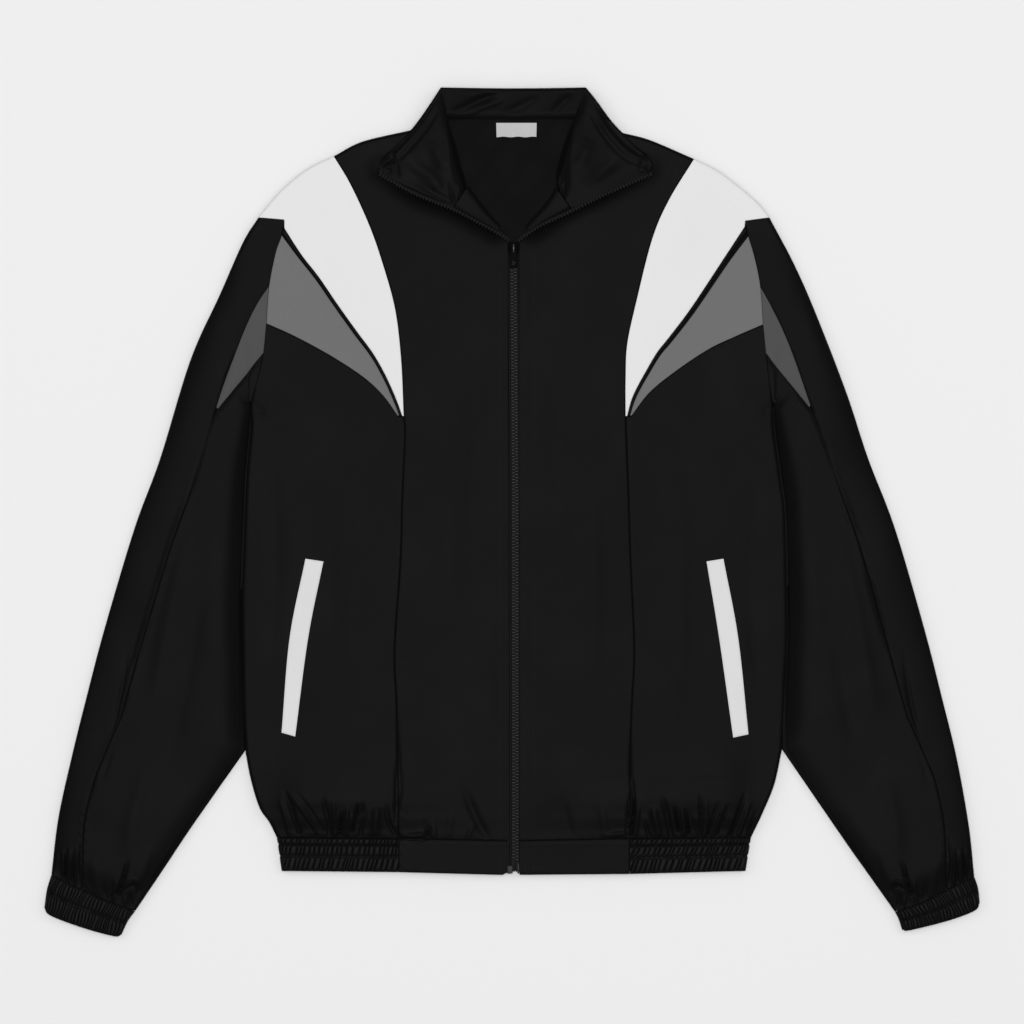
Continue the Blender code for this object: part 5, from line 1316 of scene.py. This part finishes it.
# %% Facings
# (roll x, y, zip edge x, y, heights of both)
FACING = {
    "left": [(43.0, 298.4, 55.0, 279.8, 11.4, 10.4), (33.5, 285.5, 41.5, 272.3, 11.0, 10.0),
             (22.5, 272, 26.3, 264.6, 9.6, 9.0), (12.5, 261.5, 13.8, 257.6, 8.0, 7.8)],
    "right": [(40.0, 297.0, 52.0, 278.8, 11.4, 10.4), (33, 286, 40.5, 273.0, 11.0, 10.0),
              (23, 273.5, 27.3, 266.6, 9.6, 9.0), (12.5, 261.5, 14.3, 257.8, 8.0, 7.8)],
}
for side in LINES:
    line = edge(FACING[side])
    rows = line(np.linspace(0, 1, 34))
    roll, zip_edge = rows[:, 0:2], rows[:, 2:4]
    run = zip_edge - roll
    wide = np.linalg.norm(run, axis=1)
    deep = np.minimum(1.0, wide / 12)
    across = [(-1.9, 4.6), (-1.7, 3.6), (-1.2, 2.4), (-0.6, 1.5), (0.0, 0.9), (0.1, 0.45),
              (0.25, 0.12), (0.4, 0.0), (0.6, 0.0), (0.8, 0.0), (0.93, 0.1), (1.0, 0.7)]
    outer = np.zeros((len(rows), len(across), 3))
    for j, (share, drop) in enumerate(across):
        if share < 0:
            flat = roll + unit(run) * share
        else:
            flat = roll + run * share
        outer[:, j, 0] = ZIP_X + SIGN[side] * flat[:, 0]
        outer[:, j, 1] = flat[:, 1]
        outer[:, j, 2] = rows[:, 4] + (rows[:, 5] - rows[:, 4]) * max(share, 0) - drop * deep
    inner = outer - [0, 0, DOUBLE]
    shift = inset(outer) - outer
    name = "facing_" + side
    thing = shell(name + "_cloth", outer + shift, inner + shift, BLACK_CLOTH, (name,))
    declare(thing, outer)
print("facing:", CUTS["facing_left_cloth"])

# %% [markdown]
# ## What lies on the panels
# The pocket welts are pale strips, raised a little and rounded along their edges, and the
# label in the neck is a small woven rectangle, held at its top and left blank.

# %% Welts and label
for side in LINES:
    lines = EDGES[side]
    plan = patch(line_between(lines["welt_out"](0), lines["welt_in"](0)),
                 line_between(lines["welt_out"](1), lines["welt_in"](1)),
                 lines["welt_out"], lines["welt_in"])
    u = np.array([0, 0.02, 0.06, 0.12, 0.2, 0.35, 0.5, 0.65, 0.8, 0.88, 0.94, 0.98, 1])
    grid_u, grid_v = np.meshgrid(u, shares(162, 2.2))
    flat = plan(grid_u, grid_v)
    x, y = ZIP_X + SIGN[side] * flat[..., 0], flat[..., 1]
    gap = to_seams(flat)
    high = front_top(x, y) + 1.35 - 0.75 * (1 - ramp(gap, 0, 1.5)) + 0.05 * np.sin(y / 3.1)
    outer = np.stack([x, y, high], -1)
    inner = outer.copy()
    inner[..., 2] = front_top(x, y) + 0.3
    name = "pocket_welt_" + side
    thing = shell(name + "_cloth", outer, inner, PALE_CLOTH, (name,))
    declare(thing, outer)

LABEL_WIDE, LABEL_TALL = 37.2, 13.0
LABEL_SPOT = (ZIP_X + 2.6, 351.7)
u, v = np.meshgrid(np.linspace(-0.5, 0.5, 40), np.linspace(0.5, -0.5, 16))
low = 0.5 - v
outer = np.stack([LABEL_SPOT[0] + u * LABEL_WIDE * (1 - 0.015 * low),
                  LABEL_SPOT[1] + v * LABEL_TALL + low * 0.28 * np.sin(u * 17 + 1),
                  2.6 + low ** 1.5 * (1.5 + 0.7 * np.sin(u * 19)) + 0.1 * np.sin(u * 9)], -1)
inner = outer - [0, 0, 0.4]
label = shell("neck_label_cloth", outer, inner, LABEL_CLOTH, ("neck_label",))
declare(label, outer)
print("welts and label:", CUTS["pocket_welt_left_cloth"], CUTS["neck_label_cloth"])

# %% [markdown]
# ## The zip
# A moulded zip: one tooth is modelled, a block with a rounded head and a narrow
# waist, and copied along both tapes. Left and right teeth are half a pitch apart, so that
# they mesh where the zip is closed.


# %% Finishes of the zip
def hard_finish(name, colour, rough, metallic=0.0, gloss=0.5):
    made = bpy.data.materials.new(name)
    made.use_nodes = True
    tree = made.node_tree
    shader = tree.nodes["Principled BSDF"]
    shader.inputs["Base Color"].default_value = (*colour, 1)
    shader.inputs["Metallic"].default_value = metallic
    shader.inputs["Specular IOR Level"].default_value = gloss
    coords = tree.nodes.new("ShaderNodeTexCoord")
    uneven = node(tree, "ShaderNodeTexNoise", Scale=600.0, Detail=3.0)
    tree.links.new(coords.outputs["Object"], uneven.inputs["Vector"])
    spread = node(tree, "ShaderNodeMapRange")
    spread.inputs["To Min"].default_value = rough - 0.08
    spread.inputs["To Max"].default_value = rough + 0.08
    tree.links.new(uneven.outputs["Fac"], spread.inputs["Value"])
    tree.links.new(spread.outputs["Result"], shader.inputs["Roughness"])
    return made


TEETH_PLASTIC = hard_finish("teeth_plastic", (0.008, 0.008, 0.008), 0.38, gloss=0.17)
SLIDER_ENAMEL = hard_finish("slider_enamel", (0.002, 0.002, 0.002), 0.34, gloss=0.008)
PULL_ENAMEL = hard_finish("pull_enamel", (0.002, 0.002, 0.002), 0.34, gloss=0.008)
# the bail is the slider's enamel with a lighter colour, a painted highlight, and a higher gloss
# that the lamps light
BAIL_ENAMEL_PAINTED_HIGHLIGHT = hard_finish("bail_enamel", (0.03, 0.03, 0.03), 0.25, gloss=0.8)
END_PLASTIC = hard_finish("end_plastic", (0.022, 0.022, 0.022), 0.45, gloss=0.15)
print("finishes:", len(bpy.data.materials))

# %% [markdown]
# One tooth starts as a cube with bevelled edges, and its waist is drawn in behind the
# head. A few dozen faces are enough, because the zip has several hundred teeth.


# %% One tooth
def bevel_all(wide, segments):
    """Rounds every edge of the part just made, in mm, and stays in edit mode."""
    bpy.ops.object.mode_set(mode="EDIT")
    bpy.ops.mesh.select_all(action="SELECT")
    bpy.ops.mesh.bevel(offset=wide * MM, segments=segments, affect="EDGES")


PITCH = 3.0
bpy.ops.object.select_all(action="DESELECT")
bpy.ops.mesh.primitive_cube_add(size=1.0, location=(0, 0, 0))
tooth = bpy.context.object
tooth.name = "one_tooth"
tooth.dimensions = (3.5 * MM, 1.2 * MM, 2.9 * MM)
bpy.ops.object.transform_apply(scale=True)
bevel_all(0.36, 1)
bpy.ops.object.mode_set(mode="OBJECT")


def as_template(thing):
    """The points in mm and the faces of a modelled part, which is then taken away."""
    points = np.array([vert.co for vert in thing.data.vertices]) / MM
    faces = [tuple(face.vertices) for face in thing.data.polygons]
    bpy.data.objects.remove(thing, do_unlink=True)
    return points, faces


TOOTH = as_template(tooth)
# the waist: narrower behind the head
TOOTH[0][:, 1] *= 1 - 0.3 * np.exp(-((TOOTH[0][:, 0] + 0.1) / 0.6) ** 2)
print("tooth:", len(TOOTH[0]), "points", len(TOOTH[1]), "faces")


def copies(name, template, places, finish, replaced=(), body="jacket", angle=40):
    """One mesh of many copies: each place is a middle and three axes, in mm."""
    points, faces = template
    all_points, all_faces = [], []
    for number, (middle, frame_axes) in enumerate(places):
        all_points.append(points @ np.array(frame_axes) + middle)
        all_faces.extend([tuple(k + number * len(points) for k in face) for face in faces])
    mesh = bpy.data.meshes.new(name)
    mesh.from_pydata((np.concatenate(all_points) * MM).tolist(), [], all_faces)
    return finished(name, mesh, finish, replaced, body, angle)


# %% [markdown]
# Closed, the teeth of both sides mesh: every second one comes from the other tape, half a
# pitch further down. The chain isn't quite straight in the photograph, so its middle is
# read from a short table.

# %% The closed chain
# (height above the middle, place of the chain's middle), in mm
CHAIN_WAY = [(-333, 3.1), (-180, 3.1), (22, 2.9), (110, 2.3), (170, 1.8), (225, 1.5), (250, 1.5)]
CHAIN_TOP, CHAIN_FOOT = 237.0, -322.0
TOOTH_OUT, TOOTH_HIGH = 1.42, 5.4


def chain_middle(y):
    return np.interp(y, [row[0] for row in CHAIN_WAY], [row[1] for row in CHAIN_WAY])


chain_places = []
for k in range(int((CHAIN_TOP - CHAIN_FOOT) / (PITCH / 2))):
    sign = 1 if k % 2 else -1
    up = CHAIN_TOP - k * PITCH / 2
    chain_places.append(((chain_middle(up) + sign * TOOTH_OUT, up, TOOTH_HIGH),
                         ((-sign, 0, 0), (0, 1, 0), (0, 0, 1))))
copies("zip_chain_teeth", TOOTH, chain_places, TEETH_PLASTIC, ("zip_chain",))
print("closed teeth:", len(chain_places))

# %% [markdown]
# Above the slider each row of teeth follows the edge of its leaf. The teeth stand square
# to the edge and hang down a little, on a narrow strip of their tape.

# %% The open rows, each on its own edge of tape
ROW_TILT = 14               # degrees
# (share of the row's length, height in mm)
TEETH_HEIGHTS = [(0.0, 7.7), (0.08, 7.8), (0.2, 8.4), (0.35, 9.2), (0.5, 9.6), (0.65, 9.6),
                 (0.82, 9.2), (1.0, 8.6)]
for side in LINES:
    line = edge(LINES[side]["teeth"])
    count = int(line.length / PITCH)
    shares_along = (np.arange(count) + 0.5) / count
    middle = line(shares_along)
    way = unit(line(np.minimum(shares_along + 0.01, 1)) - line(shares_along - 0.01 * (
        shares_along > 0.02)))
    high = np.interp(shares_along, [row[0] for row in TEETH_HEIGHTS],
                     [row[1] for row in TEETH_HEIGHTS])
    sign = SIGN[side]
    tilt = math.radians(ROW_TILT)
    flat_out = np.stack([way[:, 1] * sign, -way[:, 0], 0 * high], -1)
    out = flat_out * math.cos(tilt) - [0, 0, math.sin(tilt)]
    above = flat_out * math.sin(tilt) + [0, 0, math.cos(tilt)]
    tangent = np.stack([way[:, 0] * sign, way[:, 1], 0 * high], -1)
    spots = np.stack([ZIP_X + sign * middle[:, 0], middle[:, 1], high - 0.4], -1)
    places = [(spots[k], (out[k], tangent[k], above[k])) for k in range(count)]
    copies("zip_row_%s_teeth" % side, TOOTH, places, TEETH_PLASTIC, ("zip_row_" + side,))
    reach = np.array([-2.2, -1.4, -0.6, 0.2, 0.7])
    outer = spots[:, None] + out[:, None] * reach[None, :, None]
    outer[..., 2] -= 0.3
    edge_tape = shell("row_tape_" + side, outer, outer - [0, 0, 0.6], TAPE_CLOTH, ())
    declare(edge_tape, outer)
print("open teeth on the right:", count)

# %% [markdown]
# The tape is a narrow woven strip: low under the teeth, raised beside them, and low again
# where it goes under the front's edge. A short table of heights across it says so.

# %% Tapes behind the closed chain
for side in LINES:
    sign = SIGN[side]
    up = np.linspace(241, -331, 190)
    reach = np.array([0.35, 1.2, 2.4, 3.3, 3.8, 4.6, 5.4, 6.1, 7.2, 9.0, 11.0, 13.5])
    outer = np.zeros((len(up), len(reach), 3))
    outer[..., 0] = chain_middle(up)[:, None] + sign * reach[None]
    outer[..., 1] = up[:, None]
    outer[..., 2] = np.interp(reach, [0.35, 3.3, 3.8, 5.2, 6.1, 8.0],
                              [4.1, 4.1, 5.1, 5.0, 3.2, 3.2])[None]
    name = "zip_tape_" + side
    tape = shell(name + "_cloth", outer, outer - [0, 0, 0.6], TAPE_CLOTH, (name,))
    declare(tape, outer)
print("tapes:", CUTS["zip_tape_left_cloth"])

# %% [markdown]
# At the foot of the zip sit the box and, beside it, the pin that goes in. Both are
# bevelled blocks of the same plastic.

# %% The box at the foot
bpy.ops.object.select_all(action="DESELECT")
bpy.ops.mesh.primitive_cube_add(size=1.0, location=(-1.9 * MM, -329.0 * MM, 5.9 * MM))
box = bpy.context.object
box.name = "zip_foot"
box.dimensions = (4.8 * MM, 7.4 * MM, 2.6 * MM)
bpy.ops.object.transform_apply(location=True, scale=True)
bevel_all(0.6, 3)
bpy.ops.mesh.select_all(action="DESELECT")
bpy.ops.mesh.primitive_cube_add(size=1.0, location=(5.8 * MM, -327.8 * MM, 5.8 * MM),
                                scale=(1.7 * MM, 9.4 * MM, 2.0 * MM))
bpy.ops.mesh.bevel(offset=0.5 * MM, segments=2, affect="EDGES")
bpy.ops.object.mode_set(mode="OBJECT")
box.data.materials.append(END_PLASTIC)
bpy.ops.object.shade_smooth_by_angle(angle=math.radians(40))
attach(box, "jacket")
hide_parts("zip_box")
print("foot:", len(box.data.polygons), "faces")

# %% [markdown]
# The slider is two plates round the chain with a post between them, and a bail on top that
# holds the pull. The upper plate is narrowed at its tail and inset on its face, and the
# bail is half a ring, cut from a torus by a bisecting plane.

# %% The slider
bpy.ops.object.select_all(action="DESELECT")
bpy.ops.mesh.primitive_cube_add(size=1.0, location=(ZIP_X * MM, 241.25 * MM, 7.95 * MM),
                                scale=(11.0 * MM, 12.5 * MM, 1.3 * MM))
slider = bpy.context.object
slider.name = "zip_slider_body"
bpy.ops.object.transform_apply(location=True, scale=True)


def pick(mesh_object, wanted, kind="FACE"):
    """Selects the faces or vertices of the object in edit mode that a test names."""
    bpy.ops.object.mode_set(mode="OBJECT")
    for part in (*mesh_object.data.vertices, *mesh_object.data.edges, *mesh_object.data.polygons):
        part.select = False
    parts = mesh_object.data.polygons if kind == "FACE" else mesh_object.data.vertices
    for part in parts:
        part.select = bool(wanted(part))
    bpy.ops.object.mode_set(mode="EDIT")
    bpy.ops.mesh.select_mode(type=kind)


pick(slider, lambda vert: vert.co.y < 240 * MM, "VERT")
bpy.ops.transform.resize(value=(0.7, 1, 1), center_override=(ZIP_X * MM, 0.24, 0))
pick(slider, lambda face: face.normal.z > 0.9)
bpy.ops.mesh.inset(thickness=1.5 * MM)
bpy.ops.transform.translate(value=(0, 0, -0.55 * MM))
bpy.ops.mesh.inset(thickness=0.3 * MM)
bpy.ops.mesh.select_mode(type="EDGE")
bpy.ops.mesh.select_all(action="SELECT")
bpy.ops.mesh.bevel(offset=0.28 * MM, segments=2, affect="EDGES")
bpy.ops.object.mode_set(mode="OBJECT")
# the bail: half a ring that stands over the body
bpy.ops.object.select_all(action="DESELECT")
bpy.ops.mesh.primitive_torus_add(major_radius=3.8 * MM, minor_radius=0.8 * MM,
                                 major_segments=40, minor_segments=12,
                                 location=(ZIP_X * MM, 242.6 * MM, 8.45 * MM),
                                 rotation=(0, math.pi / 2, 0))
bail = bpy.context.object
bpy.ops.object.transform_apply(location=True, rotation=True)
bpy.ops.object.mode_set(mode="EDIT")
bpy.ops.mesh.select_all(action="SELECT")
bpy.ops.mesh.bisect(plane_co=(ZIP_X * MM, 0.2426, 8.0 * MM), plane_no=(0, 0, 1),
                    clear_inner=True, use_fill=True)
bpy.ops.object.mode_set(mode="OBJECT")
# the bail takes the enamel painted lighter as a highlight
bail.data.materials.append(BAIL_ENAMEL_PAINTED_HIGHLIGHT)
# the lower plate and the post that joins it
bpy.ops.object.select_all(action="DESELECT")
bpy.ops.mesh.primitive_cube_add(size=1.0, location=(ZIP_X * MM, 241.25 * MM, 2.35 * MM),
                                scale=(10.0 * MM, 12.0 * MM, 1.2 * MM))
plate = bpy.context.object
bpy.ops.object.transform_apply(location=True, scale=True)
bevel_all(0.35, 2)
bpy.ops.mesh.select_all(action="DESELECT")
bpy.ops.mesh.primitive_cube_add(size=1.0, location=(ZIP_X * MM, 242.5 * MM, 5.1 * MM),
                                scale=(2.2 * MM, 5.0 * MM, 4.9 * MM))
bpy.ops.mesh.bevel(offset=0.3 * MM, segments=2, affect="EDGES")
bpy.ops.object.mode_set(mode="OBJECT")
bpy.ops.object.select_all(action="DESELECT")
slider.data.materials.append(SLIDER_ENAMEL)
plate.data.materials.append(SLIDER_ENAMEL)
for part in (bail, plate, slider):
    part.select_set(True)
bpy.context.view_layer.objects.active = slider
bpy.ops.object.join()
bpy.ops.object.shade_smooth_by_angle(angle=math.radians(40))
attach(slider, "jacket")
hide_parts("zip_slider")
print("slider:", len(slider.data.polygons), "faces")

# %% [markdown]
# The pull is a stamped plate on the bail: a rounded bar with a slot at its head, where the
# bail passes, and an eye near its free end. It hangs on its hinge, so it rides on the pull's
# own body and turns with it.

# %% The pull
bpy.ops.object.select_all(action="DESELECT")
bpy.ops.mesh.primitive_grid_add(x_subdivisions=3, y_subdivisions=5, size=1.0,
                                location=(ZIP_X * MM, 0.2354, 9.9 * MM))
pull = bpy.context.object
pull.name = "zip_pull_plate"
columns = [-3.6, -1.75, 1.75, 3.6]                      # across the plate, in mm
rows = [224.6, 227.2, 231.0, 240.4, 245.4, 247.6]       # up it: eye, bar, slot and head
for vert in pull.data.vertices:
    across_at = round((vert.co.x + 0.5) * 3)
    up_at = round((vert.co.y + 0.5) * 5)
    narrow = 0.78 if up_at == 5 else (0.82 if up_at == 0 else (0.86 if up_at == 3 else 1.0))
    vert.co = (columns[across_at] * narrow * MM, (rows[up_at] - 235.4) * MM, 0)
bpy.ops.object.transform_apply(location=True)
pick(pull, lambda face: abs(face.center.x - ZIP_X * MM) < 0.5 * MM
     and (240.4 < face.center.y / MM < 245.4 or 227.2 < face.center.y / MM < 231.0))
bpy.ops.mesh.delete(type="FACE")
bpy.ops.mesh.select_all(action="SELECT")
bpy.ops.mesh.extrude_region_move(TRANSFORM_OT_translate={"value": (0, 0, 1.2 * MM)})
bpy.ops.mesh.select_all(action="SELECT")
bpy.ops.transform.translate(value=(0, 0, -0.6 * MM))
bpy.ops.mesh.normals_make_consistent(inside=False)
bpy.ops.object.mode_set(mode="OBJECT")
rounding = pull.modifiers.new("rounding", "BEVEL")
rounding.width = 0.4 * MM
rounding.segments = 3
rounding.limit_method = "ANGLE"
bpy.ops.object.modifier_apply(modifier="rounding")
pull.data.materials.append(PULL_ENAMEL)
bpy.ops.object.shade_smooth_by_angle(angle=math.radians(40))
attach(pull, "pull")
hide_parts("zip_pull")
print("pull:", len(pull.data.polygons), "faces")

# %% [markdown]
# ## Stitching
# One stitch is a small rounded bar of thread. Rows of it hold the front edges to the zip's
# tape, the top of the collar and the hem. It lies half sunk in the cloth, so
# it shows as a faint dotted line.

# %% One stitch
bpy.ops.object.select_all(action="DESELECT")
bpy.ops.mesh.primitive_cube_add(size=1.0, scale=(2.1 * MM, 0.42 * MM, 0.4 * MM))
stitch = bpy.context.object
stitch.name = "one_stitch"
bpy.ops.object.transform_apply(scale=True)
bevel_all(0.12, 1)
bpy.ops.object.mode_set(mode="OBJECT")
STITCH = as_template(stitch)
print("stitch:", len(STITCH[0]), "points")


def stitches(points, every=2.9):
    """Places for stitches along a line of points in mm."""
    run = np.concatenate([[0], np.cumsum(np.linalg.norm(np.diff(points, axis=0), axis=1))])
    at = np.arange(every / 2, run[-1], every)
    spots = np.stack([np.interp(at, run, points[:, k]) for k in range(3)], -1)
    ahead = np.stack([np.interp(at + 1, run, points[:, k]) for k in range(3)], -1)
    back_at = np.stack([np.interp(at - 1, run, points[:, k]) for k in range(3)], -1)
    way = unit(ahead - back_at)
    beside = unit(np.cross([0, 0, 1.0], way))
    return [(spots[k], (way[k], beside[k], np.cross(way[k], beside[k])))
            for k in range(len(at))]


def on_front(line):
    """A line in plan, in mm, laid on the jacket's front."""
    return np.column_stack([line, front_top(line[:, 0], line[:, 1]) + 0.02])


# %% [markdown]
# The rows are laid on the cloth's own height, so that they follow its folds. The numbers
# say how far out from the zip each row lies, as it is seen in the photograph.

# %% Rows beside the zip, along the hem and on the collar
sewn = []
for side, gaps in (("left", (12.7,)), ("right", (10.4, 18.6))):
    top = 236 if side == "left" else 234
    for out in gaps:
        up = np.linspace(top, -331, 300)
        sewn += stitches(on_front(np.column_stack([ZIP_X + SIGN[side] * (out + 0 * up), up])))
    seam = edge(HEM_SEAM[side])(np.linspace(0.02, 0.9, 60))
    line = np.column_stack([ZIP_X + SIGN[side] * seam[:, 0], seam[:, 1] - 3.4])
    sewn += stitches(on_front(line))
copies("front_stitches", STITCH, sewn, THREAD)
collar_rows = [stitches(outer_row) for outer_row in COLLAR_SEWN]
copies("collar_stitches", STITCH, sum(collar_rows, []), THREAD)
print("stitches:", len(sewn), "on the front")

# %% [markdown]
# Last, each sheet's cut is printed: its width, its length and its area.

# %% Finish
for name, cut in CUTS.items():
    print(name, cut)
